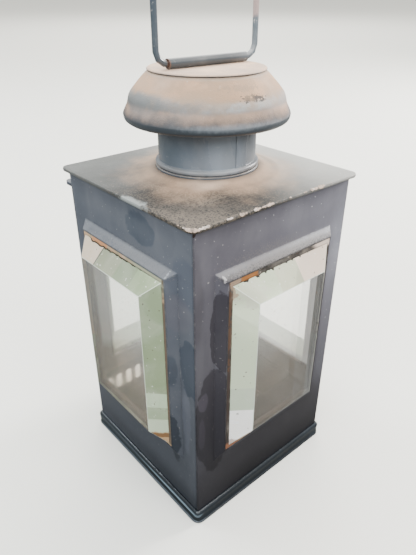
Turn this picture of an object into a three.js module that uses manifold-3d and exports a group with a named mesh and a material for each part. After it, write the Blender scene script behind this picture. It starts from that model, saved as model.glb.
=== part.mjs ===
// Square sheet-metal lantern with thick bevelled panes, a turned chimney cap
// and a wire handle. Millimetres, +Z up, origin on the floor under the middle.
// The front is the -Y wall, the door is in the +Y wall.
import * as THREE from 'three';
import { mergeVertices } from 'three/addons/utils/BufferGeometryUtils.js';
import Module from 'manifold-3d';

const wasm = await Module();
wasm.setup();

// Sheet and clearances
const sheet = 0.8;            // gauge of the walls, door and base
const seat = 0.2;             // gap left where one piece rests on another
const running = 0.15;         // radial gap of a pin in its knuckle

// Body
const bodyHalf = 60;          // half the width over the walls
const wallFoot = 1.2;         // lower edge of the walls above the floor
const tabLength = 5;          // solder tabs that the side walls turn inwards
const bendRadius = 1.2;       // outside radius of a folded corner

// Base pan
const panLip = 3.1;           // reach of the foot lip beyond the walls
const panLipHeight = 1.3;
const panHeight = 9.6;        // top of the bead round the pan
const panBead = 1.5;          // reach of that bead
const panCorner = 5.5;        // corner radius of the foot lip
const panFloor = 0.8;

// Lid
const lidUnder = 210;         // lower edge of the lid above the floor
const lidHem = 2.2;           // height of its folded edge
const lidFold = 2.4;          // width of the fold underneath
const lidReach = 4;           // overhang beyond the walls
const lidCorner = 5;
const lidDip = 0.3;           // the sheet dips this much behind the fold
const domeRise = 3.6;         // height of the pressed rings over the lid edge
const lidBrim = 14;           // flat rim left outside the pressed rings

// Windows
const windowMargin = 18.2;    // from the corner of the body to the raised lip
const lipBottom = 56;
const windowHead = 32;        // from the top of the lip to the lid
const lipRise = 5;            // how far the lip stands out of the wall
const hem = 0.8;              // folded edge of the lip, measured outwards
const borderSide = 4.7;       // width of the sloping border beside the window
const borderTop = 4;
const borderFoot = 9.5;

// Panes
const paneRise = 14;          // face of the glass beyond the wall
const paneEdge = 3.2;         // thickness of the glass at its edge
const puttyGap = 1;           // bedding between the glass and the sheet
const bevelLeft = 11.6;       // bevel beyond the lip on the left pane
const bevelFront = 14.8;
const bevelRight = 13.4;
const bevelDoor = 13.4;

// Inner frames that clamp the panes
const frameLap = 3.5;         // how far a frame laps onto its pane
const frameReach = 4.2;       // how far it reaches beyond the border
const doorFrameReach = 0.7;   // less on the door, to swing through its opening
const frameFlange = 2;

// Door and its surround
const doorBottom = 15;
const doorUnderLedge = 4;
const doorFlat = 0.6;         // flat strip between the window border and the hem
const doorLap = 1;            // lap of the door over its opening
const doorHem = 2.4;          // width of the folded edge
const doorHemRise = 2;        // thickness of the folded edge
const hemRound = 0.5;         // chamfer along that edge
const doorGap = 0.3;          // door to surround
const ventPitch = 8.6;
const ventCount = 11;
const ventWidth = 4.8;
const ventHeight = 14;

// Hinges
const knuckleRadius = 2.1;
const pinRadius = 1.1;
const knuckleLength = 8;
const knuckleGap = 0.4;
const hingeInset = 21;        // from the ends of the door to the hinge middles

// Rain ledge over the door
const ledgeReach = 8.5;
const ledgeHeight = 2.2;
const ledgeUnderLid = 11;
const ledgeCorner = 3;

// Turn button
const buttonLong = 8;         // arm that laps onto the door
const buttonShort = 4.2;
const buttonWide = 6;
const buttonThick = 1;
const buttonInset = 5;        // pivot from the corner of the body
const buttonTab = 3;          // bent finger tab
const rivetRadius = 1.4;
const rivetHead = 2.6;
const rivetShoulder = 0.9;    // how far its shoulder stands out of the shank
const rivetDome = 1.1;        // height of the head over the button

// Neck and chimney
const neckPlay = 1;           // between the collar and the bore of the neck
const neckStand = 1.2;        // neck above the pressed rings
const neckFlange = 3.2;
const collarRadius = 28.6;
const collarHeight = 34;
const collarBead = 1.5;       // radius of the bead at the collar's foot
const collarSpigot = 5;       // length of the collar inside the neck
const seamWidth = 7.8;        // overlap of the collar's soldered seam
const seamRise = 0.4;
const seamTurn = -89.4;       // degrees from the X axis to the middle of the seam

// Cap
const discReach = 4.4;        // how far the disc reaches past the collar
const discOver = 19;          // top of the disc above the collar
const discThick = 0.9;
const discBrim = 0.7;         // how far the disc reaches past the top of the shell
const capRadius = 47.4;
const capHeight = 26.7;       // from under the disc to the foot of the rolled rim
const capWall = 0.9;
const capSeat = 3.5;          // width of the cap's top under the disc
const strapCount = 3;
const strapWidth = 8;
const strapLap = 12;          // strap soldered down the inside of the collar
const strapFoot = 9;          // strap soldered under the disc

// Handle
const wireRadius = 1.7;
const sleeveBore = 1.95;
const sleeveWall = 0.65;
const sleeveLength = 54;
const sleeveTurn = -3.3;      // degrees from the X axis
const sleeveX = 2.4;
const sleeveY = 1.6;
const bailWidth = 67.5;
const bailHeight = 90;
const bailShoulder = 17;      // radius of the upper bends
const bailSteps = 72;
const wireGap = 0.4;          // from the middle of the sleeve to each wire end

// Candle holder
const dishRadius = 24;
const dishRim = 5;
const socketBore = 10.8;
const socketWall = 0.8;
const socketHeight = 28;
const socketSlot = 3;

const roundSides = 48;

// Heights and widths that follow from these
const lidTop = lidUnder + lidHem;
const lidHalf = bodyHalf + lidReach;
const wallTop = lidTop - lidDip - sheet - seat;
const ledgeBottom = lidUnder - ledgeUnderLid;
const lipHalf = bodyHalf - windowMargin;
const lipTop = lidUnder - windowHead;
const doorHalf = lipHalf + borderSide + doorFlat + doorHem;
const doorTop = ledgeBottom - doorUnderLedge;
const ventMiddle = (doorBottom + lipBottom - borderFoot) / 2;
const hingeHeights = [doorBottom + hingeInset, doorTop - hingeInset];
const buttonHeight = (doorBottom + doorTop) / 2;
const ringRadius = lidHalf - lidBrim;
const neckRadius = collarRadius + neckPlay + sheet;
const discRadius = collarRadius + discReach;
const ringTop = lidTop + domeRise;
const neckTop = ringTop + neckStand;
const collarTop = neckTop + collarHeight;
const discTop = collarTop + discOver;
const shellTop = discTop - discThick - seat;

const paint = (colour, roughness, metalness) =>
  new THREE.MeshStandardMaterial({ color: colour, roughness, metalness });
const bodyPaint = paint(0x50555b, 0.55, 0.35);
const lidPaint = paint(0x8b857b, 0.8, 0.15);
const capPaint = paint(0x9c8e80, 0.8, 0.15);
const innerPaint = paint(0x6a645c, 0.75, 0.2);
const glassGreen = new THREE.MeshStandardMaterial({
  color: 0xc9d8c6, roughness: 0.05, metalness: 0, transparent: true, opacity: 0.4,
});
const puttyTan = paint(0xa87d52, 0.95, 0);
const bareSteel = paint(0x777b80, 0.45, 0.8);
const darkWire = paint(0x555b63, 0.5, 0.6);

const v2 = (x, y) => new THREE.Vector2(x, y);
const v3 = (x, y, z) => new THREE.Vector3(x, y, z);

// Closed solids for joining and cutting.
function toSolid(geometry) {
  const bare = geometry.clone();
  bare.deleteAttribute('normal');
  bare.deleteAttribute('uv');
  const merged = mergeVertices(bare, 1e-4);
  return new wasm.Manifold(new wasm.Mesh({
    numProp: 3,
    vertProperties: new Float32Array(merged.attributes.position.array),
    triVerts: new Uint32Array(merged.index.array),
  }));
}

function toGeometry(solid) {
  const mesh = solid.getMesh();
  const geometry = new THREE.BufferGeometry();
  geometry.setAttribute('position', new THREE.BufferAttribute(mesh.vertProperties, 3));
  geometry.setIndex(new THREE.BufferAttribute(mesh.triVerts, 1));
  return geometry;
}

function join(first, ...rest) {
  let solid = toSolid(first);
  for (const next of rest) solid = solid.add(toSolid(next));
  return toGeometry(solid);
}

function cut(first, ...tools) {
  let solid = toSolid(first);
  for (const tool of tools) solid = solid.subtract(toSolid(tool));
  return toGeometry(solid);
}

// Skin over rings of equally many points. Each ring runs anticlockwise seen
// from outside the last one; a closed loft joins the last ring to the first,
// an open one is capped at both ends.
function loft(rings, closed) {
  const count = rings[0].length;
  const position = rings.flat().flatMap((p) => [p.x, p.y, p.z]);
  const index = [];
  const spans = closed ? rings.length : rings.length - 1;
  for (let r = 0; r < spans; r += 1) {
    const a = r * count;
    const b = ((r + 1) % rings.length) * count;
    for (let i = 0; i < count; i += 1) {
      const j = (i + 1) % count;
      index.push(a + i, a + j, b + j, a + i, b + j, b + i);
    }
  }
  if (!closed) {
    const last = (rings.length - 1) * count;
    for (let i = 1; i < count - 1; i += 1) {
      index.push(0, i + 1, i);
      index.push(last, last + i, last + i + 1);
    }
  }
  const geometry = new THREE.BufferGeometry();
  geometry.setAttribute('position', new THREE.Float32BufferAttribute(position, 3));
  geometry.setIndex(index);
  return geometry;
}

// Rectangle of a wall seen from outside: across and up, standing out by `out`
// from the front wall's plane. Its points run anticlockwise from the lower left.
function sheetRect(from, to, bottom, top, out) {
  const y = -bodyHalf - out;
  return [v3(from, y, bottom), v3(to, y, bottom), v3(to, y, top), v3(from, y, top)];
}
const rect = (half, bottom, top, out) => sheetRect(-half, half, bottom, top, out);

// Square with round corners, every ring with the same number of points.
const cornerSteps = 6;
function roundSquare(half, radius, z) {
  const ring = [];
  for (let corner = 0; corner < 4; corner += 1) {
    const start = corner * Math.PI / 2;
    const cx = (half - radius) * Math.SQRT2 * Math.cos(start + Math.PI / 4);
    const cy = (half - radius) * Math.SQRT2 * Math.sin(start + Math.PI / 4);
    for (let step = 0; step <= cornerSteps; step += 1) {
      const angle = start + step * Math.PI / 2 / cornerSteps;
      ring.push(v3(cx + radius * Math.cos(angle), cy + radius * Math.sin(angle), z));
    }
  }
  return ring;
}

// Body of revolution from a closed profile of [radius, height] pairs.
function turned(profile, sides = roundSides) {
  const points = profile.map(([r, z]) => v2(r, z));
  if (profile[0][0] > 0) points.push(points[0].clone());
  const geometry = new THREE.LatheGeometry(points, sides);
  geometry.rotateX(Math.PI / 2);
  return geometry;
}

// Outline of a strip of sheet that follows a bent line, for extruding.
function stripOutline(corners, thickness, radius, steps = 4) {
  const centre = [];
  const tangents = [];
  const add = (point, tangent) => {
    centre.push(point);
    tangents.push(tangent.clone().normalize());
  };
  for (let i = 0; i < corners.length; i += 1) {
    const here = corners[i];
    const before = corners[i - 1];
    const after = corners[i + 1];
    if (!before || !after) {
      add(here, before ? here.clone().sub(before) : after.clone().sub(here));
      continue;
    }
    const inward = here.clone().sub(before).normalize();
    const outward = after.clone().sub(here).normalize();
    const turn = Math.atan2(inward.cross(outward), inward.dot(outward));
    const run = radius * Math.tan(Math.abs(turn) / 2);
    const side = Math.sign(turn);
    const start = here.clone().addScaledVector(inward, -run);
    const middle = start.clone().add(v2(-inward.y, inward.x).multiplyScalar(side * radius));
    for (let step = 0; step <= steps; step += 1) {
      const angle = turn * step / steps;
      const point = start.clone().rotateAround(middle, angle);
      add(point, inward.clone().rotateAround(v2(0, 0), angle));
    }
  }
  const offset = (sign) => centre.map((p, i) => v2(
    p.x - sign * tangents[i].y * thickness / 2, p.y + sign * tangents[i].x * thickness / 2));
  return new THREE.Shape([...offset(-1), ...offset(1).reverse()]);
}

function extrude(shape, depth, curveSegments = 8) {
  return new THREE.ExtrudeGeometry(shape, { depth, bevelEnabled: false, curveSegments });
}

const lantern = new THREE.Group();
function addMesh(name, geometry, material, parent = lantern) {
  const mesh = new THREE.Mesh(geometry, material);
  mesh.name = name;
  parent.add(mesh);
  return mesh;
}

// Base pan: flat floor, upright side that swells into a bead and runs out into
// the foot lip.
const panHalf = bodyHalf + seat + sheet;
const panLipHalf = bodyHalf + panLip;
const panInner = bodyHalf + seat;
const panFold = 2 * sheet;
addMesh('base_pan', loft([
  roundSquare(panLipHalf, panCorner, 0),
  roundSquare(panLipHalf, panCorner, panLipHeight * 0.7),
  roundSquare(panLipHalf - 0.4, panCorner - 0.4, panLipHeight),
  roundSquare(panHalf + panBead * 0.8, panFold + 1.6, panLipHeight + 0.7),
  roundSquare(panHalf + panBead * 0.72, panFold + 1.2, panHeight - 3.2 * panBead),
  roundSquare(panHalf + panBead * 0.85, panFold + 1, panHeight - 2 * panBead),
  roundSquare(panHalf + panBead * 0.8, panFold + 0.7, panHeight - 1.2 * panBead),
  roundSquare(panHalf + panBead * 0.5, panFold + 0.4, panHeight - 0.5 * panBead),
  roundSquare(panHalf, panFold, panHeight),
  roundSquare(panInner, panFold - sheet, panHeight),
  roundSquare(panInner, seat / 2, panHeight - 0.5),
  roundSquare(panInner, seat / 2, panFloor),
], false), bodyPaint);

// Windows: a raised mitred border and a folded lip, all of one sheet.
const border = { side: borderSide, top: borderTop, foot: borderFoot };
function windowRect(grow, out) {
  return rect(lipHalf + grow.side, lipBottom - grow.foot, lipTop + grow.top, out);
}
const evenly = (amount) => ({ side: amount, top: amount, foot: amount });
const perSide = (rule) => ({ side: rule(border.side), top: rule(border.top), foot: rule(border.foot) });
// Distance from the lip to the inside of the sloping sheet at a height.
const slopeInside = (out) => perSide((width) => width * (1 - out / lipRise)
  - sheet * Math.hypot(width, lipRise) / lipRise);

// Rings of the pressed window, from the panel's face to its back.
function windowRings(face) {
  const underHem = lipRise - hem;
  return [
    windowRect(border, face),
    windowRect(evenly(0), face + lipRise),
    windowRect(evenly(-sheet), face + lipRise),
    windowRect(evenly(-sheet), face + underHem),
    windowRect(slopeInside(underHem), face + underHem),
    windowRect(slopeInside(-sheet), face - sheet),
  ];
}

// Glass: flat edge, then a wide bevel up to a flat field.
function paneRings(face, bevel) {
  const edgeOut = paneEdge - sheet;
  const inner = slopeInside(edgeOut);
  const edge = {
    side: inner.side - puttyGap, top: inner.top - puttyGap, foot: inner.top - puttyGap,
  };
  return { edge, rings: [
    windowRect(edge, face - sheet), windowRect(edge, face + edgeOut),
    windowRect(evenly(-bevel), face + paneRise),
  ] };
}

function bevelAt(edge, bevel, out) {
  const edgeOut = paneEdge - sheet;
  const share = (out - edgeOut) / (paneRise - edgeOut);
  const rule = (start) => start + (-bevel - start) * share;
  return { side: rule(edge.side), top: rule(edge.top), foot: rule(edge.foot) };
}
const less = (grow, amount) => ({
  side: grow.side - amount, top: grow.top - amount, foot: grow.foot - amount,
});

// Putty between the glass and the lip, showing as a band inside the lip.
function puttyRings(face, bevel, edge) {
  const skin = seat / 2;
  const low = paneEdge - sheet + skin;
  const underHem = lipRise - hem - skin;
  const bulge = lipRise + 0.3;
  return [
    windowRect(less(bevelAt(edge, bevel, low), -skin), face + low),
    windowRect(less(bevelAt(edge, bevel, bulge), -skin * 2), face + bulge),
    windowRect(evenly(-sheet - skin), face + lipRise - skin),
    windowRect(evenly(-sheet - skin), face + underHem),
    windowRect(less(slopeInside(underHem), skin), face + underHem),
    windowRect(less(slopeInside(low), skin), face + low),
  ];
}

// Inner frame: a flat ring over the back of the pane with a turned edge.
function clampRings(face, reach) {
  const back = face - sheet - seat;
  const inner = evenly(-frameLap);
  const outer = { side: border.side + reach, top: border.top + reach, foot: border.foot + reach };
  const flange = less(inner, -sheet);
  return [
    windowRect(inner, back), windowRect(inner, back - sheet - frameFlange),
    windowRect(flange, back - sheet - frameFlange), windowRect(flange, back - sheet),
    windowRect(outer, back - sheet), windowRect(outer, back),
  ];
}

function addWindow(side, face, bevel, reach, parent) {
  const pane = paneRings(face, bevel);
  addMesh(`glass_${side}`, loft(pane.rings, false), glassGreen, parent);
  addMesh(`putty_${side}`, loft(puttyRings(face, bevel, pane.edge).reverse(), true), puttyTan, parent);
  addMesh(`clamp_${side}`, loft(clampRings(face, reach), true), innerPaint, parent);
}

// Walls. The front spans the full width. Each side wall runs from the back
// corner to the front wall, and turns a soldered tab in behind that.
const cornerIn = bodyHalf - sheet - seat;
function wallPanel(from, to) {
  return loft([
    sheetRect(from, to, wallFoot, wallTop, 0), ...windowRings(0),
    sheetRect(from, to, wallFoot, wallTop, -sheet),
  ], true);
}

// Tab at the end of a sheet that is bent round a corner, on the side `sign`.
function cornerTab(sign) {
  const y = -bodyHalf + sheet / 2;
  const x = sign * (cornerIn - sheet / 2);
  const outline = stripOutline(
    [v2(sign * (cornerIn - bendRadius - 2), y), v2(x, y), v2(x, y + tabLength)],
    sheet, bendRadius - sheet / 2);
  const tab = extrude(outline, wallTop - wallFoot);
  tab.translate(0, 0, wallFoot);
  return tab;
}

function sideWall(frontSign) {
  const front = frontSign * (cornerIn - bendRadius);
  const rear = -frontSign * bodyHalf;
  return join(wallPanel(Math.min(front, rear), Math.max(front, rear)), cornerTab(frontSign));
}

const sides = [
  { side: 'left', turn: -Math.PI / 2, bevel: bevelLeft, panel: sideWall(1) },
  { side: 'front', turn: 0, bevel: bevelFront, panel: wallPanel(-bodyHalf, bodyHalf) },
  { side: 'right', turn: Math.PI / 2, bevel: bevelRight, panel: sideWall(-1) },
];
for (const { side, turn, bevel, panel } of sides) {
  const wall = new THREE.Group();
  wall.rotation.z = turn;
  lantern.add(wall);
  addMesh(`wall_${side}`, panel, bodyPaint, wall);
  addWindow(side, 0, bevel, frameReach, wall);
}

// Door side, drawn as a front wall and turned to face +Y.
const back = new THREE.Group();
back.rotation.z = Math.PI;
lantern.add(back);
const openHalf = doorHalf - doorLap;
const buttonAcross = bodyHalf - buttonInset;
const surroundFlat = cornerIn - bendRadius;
const surroundPlate = loft([
  rect(surroundFlat, wallFoot, wallTop, 0),
  rect(openHalf, doorBottom + doorLap, doorTop - doorLap, 0),
  rect(openHalf, doorBottom + doorLap, doorTop - doorLap, -sheet),
  rect(surroundFlat, wallFoot, wallTop, -sheet),
], true);
const shankHole = new THREE.CylinderGeometry(rivetRadius + running, rivetRadius + running, 4, 20);
shankHole.translate(buttonAcross, -bodyHalf, buttonHeight);
addMesh('door_surround', cut(join(surroundPlate, cornerTab(-1), cornerTab(1)), shankHole),
  bodyPaint, back);

const ledgeShape = new THREE.Shape();
ledgeShape.moveTo(-bodyHalf, -bodyHalf - seat);
ledgeShape.lineTo(-bodyHalf, -bodyHalf - ledgeReach + ledgeCorner);
ledgeShape.absarc(-bodyHalf + ledgeCorner, -bodyHalf - ledgeReach + ledgeCorner, ledgeCorner,
  Math.PI, Math.PI * 1.5, false);
ledgeShape.absarc(bodyHalf - ledgeCorner, -bodyHalf - ledgeReach + ledgeCorner, ledgeCorner,
  Math.PI * 1.5, Math.PI * 2, false);
ledgeShape.lineTo(bodyHalf, -bodyHalf - seat);
const ledge = extrude(ledgeShape, ledgeHeight, 4);
ledge.translate(0, 0, ledgeBottom);
addMesh('rain_ledge', ledge, bodyPaint, back);

// Hinge line: the door's edge is rolled round the pin between two knuckles
// of a leaf that is soldered to the surround.
const doorFace = doorGap + sheet;
const hingeOut = doorGap + knuckleRadius;
const hingeAcross = doorHalf + knuckleRadius + 1;

function knuckle(bottom, height) {
  const ring = new THREE.Shape();
  ring.absarc(-hingeAcross, -bodyHalf - hingeOut, knuckleRadius, 0, Math.PI * 2, false);
  const bore = new THREE.Path();
  bore.absarc(-hingeAcross, -bodyHalf - hingeOut, pinRadius + running, 0, Math.PI * 2, true);
  ring.holes.push(bore);
  const tube = extrude(ring, height, 9);
  tube.translate(0, 0, bottom);
  return tube;
}

function tongue(from, to, bottom, height) {
  const tab = new THREE.BoxGeometry(Math.abs(to - from), sheet, height);
  tab.translate(-(from + to) / 2, -bodyHalf - doorGap - sheet / 2, bottom + height / 2);
  return cut(tab, knuckleBore(bottom, height));
}

function knuckleBore(bottom, height) {
  const bore = new THREE.CylinderGeometry(pinRadius + running, pinRadius + running, height + 2, 18);
  bore.rotateX(Math.PI / 2);
  bore.translate(-hingeAcross, -bodyHalf - hingeOut, bottom + height / 2);
  return bore;
}

const doorPanel = loft([
  rect(doorHalf, doorBottom, doorTop, doorGap),
  rect(doorHalf, doorBottom, doorTop, doorGap + doorHemRise - hemRound),
  rect(doorHalf - hemRound, doorBottom + hemRound, doorTop - hemRound, doorGap + doorHemRise),
  rect(doorHalf - doorHem, doorBottom + doorHem, doorTop - doorHem, doorGap + doorHemRise),
  rect(doorHalf - doorHem, doorBottom + doorHem, doorTop - doorHem, doorFace),
  ...windowRings(doorFace),
], true);
const ventTools = [];
for (let i = 0; i < ventCount; i += 1) {
  const x = (i - (ventCount - 1) / 2) * ventPitch;
  const r = ventWidth / 2;
  const slot = new THREE.Shape();
  slot.absarc(x, ventMiddle + ventHeight / 2 - r, r, 0, Math.PI, false);
  slot.absarc(x, ventMiddle - ventHeight / 2 + r, r, Math.PI, Math.PI * 2, false);
  const tool = extrude(slot, 4, 5);
  tool.rotateX(Math.PI / 2);
  tool.translate(0, -bodyHalf + 1, 0);
  ventTools.push(tool);
}
let doorGeometry = cut(doorPanel, ...ventTools);
for (const z of hingeHeights) {
  doorGeometry = join(doorGeometry, knuckle(z - knuckleLength / 2, knuckleLength),
    tongue(doorHalf - 1, hingeAcross, z - knuckleLength / 2, knuckleLength));
}
addMesh('door_panel', doorGeometry, bodyPaint, back);
addWindow('door', doorFace, bevelDoor, doorFrameReach, back);

hingeHeights.forEach((z, i) => {
  const name = i === 0 ? 'lower' : 'upper';
  const step = knuckleLength + knuckleGap;
  const leafLength = knuckleLength * 3 + knuckleGap * 2;
  const leafFrom = hingeAcross + knuckleRadius + knuckleGap;
  const leafTo = bodyHalf - bendRadius;
  const plate = new THREE.BoxGeometry(leafTo - leafFrom, sheet, leafLength);
  plate.translate(-(leafTo + leafFrom) / 2, -bodyHalf - doorGap - sheet / 2, z);
  const parts = [-1, 1].flatMap((sign) => {
    const bottom = z + sign * step - knuckleLength / 2;
    return [knuckle(bottom, knuckleLength), tongue(hingeAcross, leafFrom + 1, bottom, knuckleLength)];
  });
  addMesh(`hinge_leaf_${name}`, join(plate, ...parts), bodyPaint, back);
  const pin = new THREE.CylinderGeometry(pinRadius, pinRadius, leafLength + 1, 18);
  const head = new THREE.SphereGeometry(pinRadius * 1.5, 16, 8);
  head.translate(0, leafLength / 2 + pinRadius * 1.5 + 0.2, 0);
  const pinGeometry = join(pin, head);
  pinGeometry.rotateX(Math.PI / 2);
  pinGeometry.translate(-hingeAcross, -bodyHalf - hingeOut, z);
  addMesh(`hinge_pin_${name}`, pinGeometry, bareSteel, back);
});

// Turn button on a shouldered rivet beside the free edge of the door. Its
// long arm hangs down here and turns a quarter over the door's folded edge.
const buttonOut = doorGap + doorHemRise + seat * 2;
const buttonShape = new THREE.Shape();
buttonShape.absarc(0, buttonShort - buttonWide / 2, buttonWide / 2, 0, Math.PI, false);
buttonShape.absarc(0, -buttonLong + buttonWide / 2, buttonWide / 2, Math.PI, Math.PI * 2, false);
const rivetHole = new THREE.Path();
rivetHole.absarc(0, 0, rivetRadius + running, 0, Math.PI * 2, true);
buttonShape.holes.push(rivetHole);
const buttonTabBox = new THREE.BoxGeometry(buttonWide * 0.6, sheet, buttonTab);
buttonTabBox.translate(0, -buttonLong + sheet / 2 + 0.6, buttonThick + buttonTab / 2 - 0.2);
const button = join(extrude(buttonShape, buttonThick, 6), buttonTabBox);
button.rotateX(Math.PI / 2);
button.translate(buttonAcross, -bodyHalf - buttonOut, buttonHeight);
addMesh('turn_button', button, bareSteel, back);

const rivetBack = -sheet - seat;
const rivet = turned([
  [0, rivetBack - 1], [rivetHead, rivetBack - 1], [rivetHead, rivetBack], [rivetRadius, rivetBack],
  [rivetRadius, seat], [rivetRadius + rivetShoulder, seat], [rivetRadius + rivetShoulder, buttonOut - seat],
  [rivetRadius, buttonOut - seat], [rivetRadius, buttonOut + buttonThick + seat],
  [rivetHead, buttonOut + buttonThick + seat],
  [rivetHead * 0.8, buttonOut + buttonThick + seat + rivetDome * 0.72],
  [0, buttonOut + buttonThick + seat + rivetDome],
], 20);
rivet.rotateX(Math.PI / 2);
rivet.translate(buttonAcross, -bodyHalf, buttonHeight);
addMesh('button_rivet', rivet, bareSteel, back);

// Lid: a square sheet with a folded edge, domed and ringed round the neck.
const neckHole = neckRadius + seat;
const squareAt = (half, z) => roundSquare(half, Math.max(1, lidCorner - (lidHalf - half)), z);
function circleAt(radius, z) {
  const ring = [];
  for (let corner = 0; corner < 4; corner += 1) {
    for (let step = 0; step <= cornerSteps; step += 1) {
      const angle = (corner + (step + 0.5) / (cornerSteps + 1)) * Math.PI / 2;
      ring.push(v3(radius * Math.cos(angle), radius * Math.sin(angle), z));
    }
  }
  return ring;
}
const ringWidth = ringRadius - neckHole;
const pressedTop = new THREE.SplineCurve([
  v2(1, 0), v2(0.86, 0.06), v2(0.72, 0.27), v2(0.6, 0.46),
  v2(0.48, 0.42), v2(0.34, 0.56), v2(0.14, 0.92), v2(0, 1),
]).getPoints(9);
const pressedRings = (drop) => pressedTop.map((p) =>
  circleAt(neckHole + ringWidth * p.x, lidTop + domeRise * p.y - drop));
addMesh('lid', loft([
  squareAt(lidHalf - lidFold, lidUnder),
  squareAt(lidHalf - lidDip, lidUnder),
  squareAt(lidHalf, lidUnder + lidHem * 0.4),
  squareAt(lidHalf - lidDip, lidTop - lidDip),
  squareAt(lidHalf - lidFold / 2, lidTop),
  squareAt(lidHalf - lidFold - sheet, lidTop - lidDip),
  ...pressedRings(0),
  ...pressedRings(sheet).reverse(),
  squareAt(lidHalf - lidFold - sheet, lidTop - lidDip - sheet),
  squareAt(lidHalf - lidFold, lidTop - lidDip - sheet),
], true), lidPaint);

// Neck ring through the lid, with its flange soldered underneath.
const flangeShare = (neckRadius + neckFlange - neckHole) / ringWidth;
const flangeStep = pressedTop.findIndex((p) => p.x <= flangeShare);
const [beyond, within] = [pressedTop[flangeStep - 1], pressedTop[flangeStep]];
const overFlange = THREE.MathUtils.mapLinear(flangeShare, beyond.x, within.x, beyond.y, within.y);
const flangeTop = lidTop - sheet + domeRise * overFlange - seat;
addMesh('neck_ring', turned([
  [neckRadius - sheet, flangeTop - sheet], [neckRadius + neckFlange, flangeTop - sheet],
  [neckRadius + neckFlange, flangeTop], [neckRadius, flangeTop],
  [neckRadius, neckTop - sheet / 2], [neckRadius - sheet / 2, neckTop], [neckRadius - sheet, neckTop],
]), bodyPaint);

// Collar: a plain tube with a rolled bead that rests on the neck ring.
const beadMiddle = neckTop + seat + collarBead;
const beadArc = [];
const beadSteps = 7;
for (let step = 0; step <= beadSteps; step += 1) {
  const angle = (step / beadSteps - 0.5) * Math.PI;
  beadArc.push([collarRadius + sheet / 2 + collarBead * Math.cos(angle),
    beadMiddle + collarBead * Math.sin(angle)]);
}
const tube = turned([
  [collarRadius - sheet, neckTop - collarSpigot], [collarRadius, neckTop - collarSpigot],
  [collarRadius, neckTop + seat], ...beadArc,
  [collarRadius, beadMiddle + collarBead + sheet / 4], [collarRadius, collarTop],
  [collarRadius - sheet, collarTop],
]);
const seamMiddle = THREE.MathUtils.degToRad(seamTurn);
const seamHalf = seamWidth / 2 / collarRadius;
const seamShape = new THREE.Shape();
seamShape.absarc(0, 0, collarRadius + seamRise, seamMiddle - seamHalf, seamMiddle + seamHalf, false);
seamShape.absarc(0, 0, collarRadius - sheet / 2, seamMiddle + seamHalf, seamMiddle - seamHalf, true);
const seam = extrude(seamShape, collarTop - beadMiddle - seat, 4);
seam.translate(0, 0, beadMiddle);
addMesh('collar', join(tube, seam), bodyPaint);

// Cap: turned shell with a convex shoulder, a waist and a rolled rim. Its
// outline is given as shares of its width and depth below the disc.
const capShape = [
  [0, 0], [0.26, 0.14], [0.47, 0.27], [0.65, 0.39], [0.77, 0.5], [0.825, 0.59], [0.835, 0.67],
  [0.9, 0.74], [0.975, 0.8], [1, 0.86], [0.96, 0.94], [0.85, 0.993], [0.73, 0.985],
];
const capStart = discRadius - discBrim;
const capSkin = new THREE.SplineCurve(capShape.map(([across, down]) =>
  v2(capStart + (capRadius - capStart) * across, shellTop - capHeight * down))).getPoints(16);
const capOuter = capSkin.map((p) => [p.x, p.y]);
const capInner = capSkin.map((p, i) => {
  const before = capSkin[Math.max(0, i - 1)];
  const after = capSkin[Math.min(capSkin.length - 1, i + 1)];
  const along = after.clone().sub(before).normalize();
  return [p.x + along.y * capWall, p.y - along.x * capWall];
}).filter((_, i) => i % 2 === 0).reverse();
addMesh('cap_shell', turned([
  ...capOuter, ...capInner.slice(0, -1),
  [discRadius - capSeat, shellTop - capWall], [discRadius - capSeat, shellTop],
].reverse()), capPaint);

const discEdge = [-1, -0.5, 0, 0.5, 1].map((turn) => [
  discRadius - discThick * 0.5 * (1 - Math.cos(turn * Math.PI / 2)),
  discTop - discThick * 0.5 * (1 - Math.sin(turn * Math.PI / 2)),
]);
addMesh('cap_disc', turned([[0, discTop - discThick], ...discEdge, [0, discTop]]), capPaint);

// Straps that carry the cap: soldered inside the collar and under the disc.
for (let i = 0; i < strapCount; i += 1) {
  const strapOut = Math.sqrt((collarRadius - sheet - seat) ** 2 - (strapWidth / 2) ** 2) - sheet / 2;
  const underDisc = shellTop - sheet / 2;
  const outline = stripOutline([
    v2(strapOut, collarTop - strapLap), v2(strapOut, underDisc), v2(strapOut - strapFoot, underDisc),
  ], sheet, bendRadius);
  const strap = extrude(outline, strapWidth);
  strap.translate(0, 0, -strapWidth / 2);
  strap.rotateX(Math.PI / 2);
  const turn = new THREE.Group();
  turn.rotation.z = i * Math.PI * 2 / strapCount;
  lantern.add(turn);
  addMesh(`cap_strap_${i + 1}`, strap, innerPaint, turn);
}

// Handle: a rolled sleeve soldered on the disc, and a bail of wire whose two
// ends meet inside the sleeve.
const sleeveRadius = sleeveBore + sleeveWall;
const handle = new THREE.Group();
handle.position.set(sleeveX, sleeveY, discTop + seat + sleeveRadius);
handle.rotation.z = THREE.MathUtils.degToRad(sleeveTurn);
lantern.add(handle);
const sleeveShape = new THREE.Shape();
sleeveShape.absarc(0, 0, sleeveRadius, 0, Math.PI * 2, false);
const wireBore = new THREE.Path();
wireBore.absarc(0, 0, sleeveBore, 0, Math.PI * 2, true);
sleeveShape.holes.push(wireBore);
const sleeve = extrude(sleeveShape, sleeveLength, 12);
sleeve.translate(0, 0, -sleeveLength / 2);
sleeve.rotateY(Math.PI / 2);
addMesh('handle_sleeve', sleeve, darkWire, handle);

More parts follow.
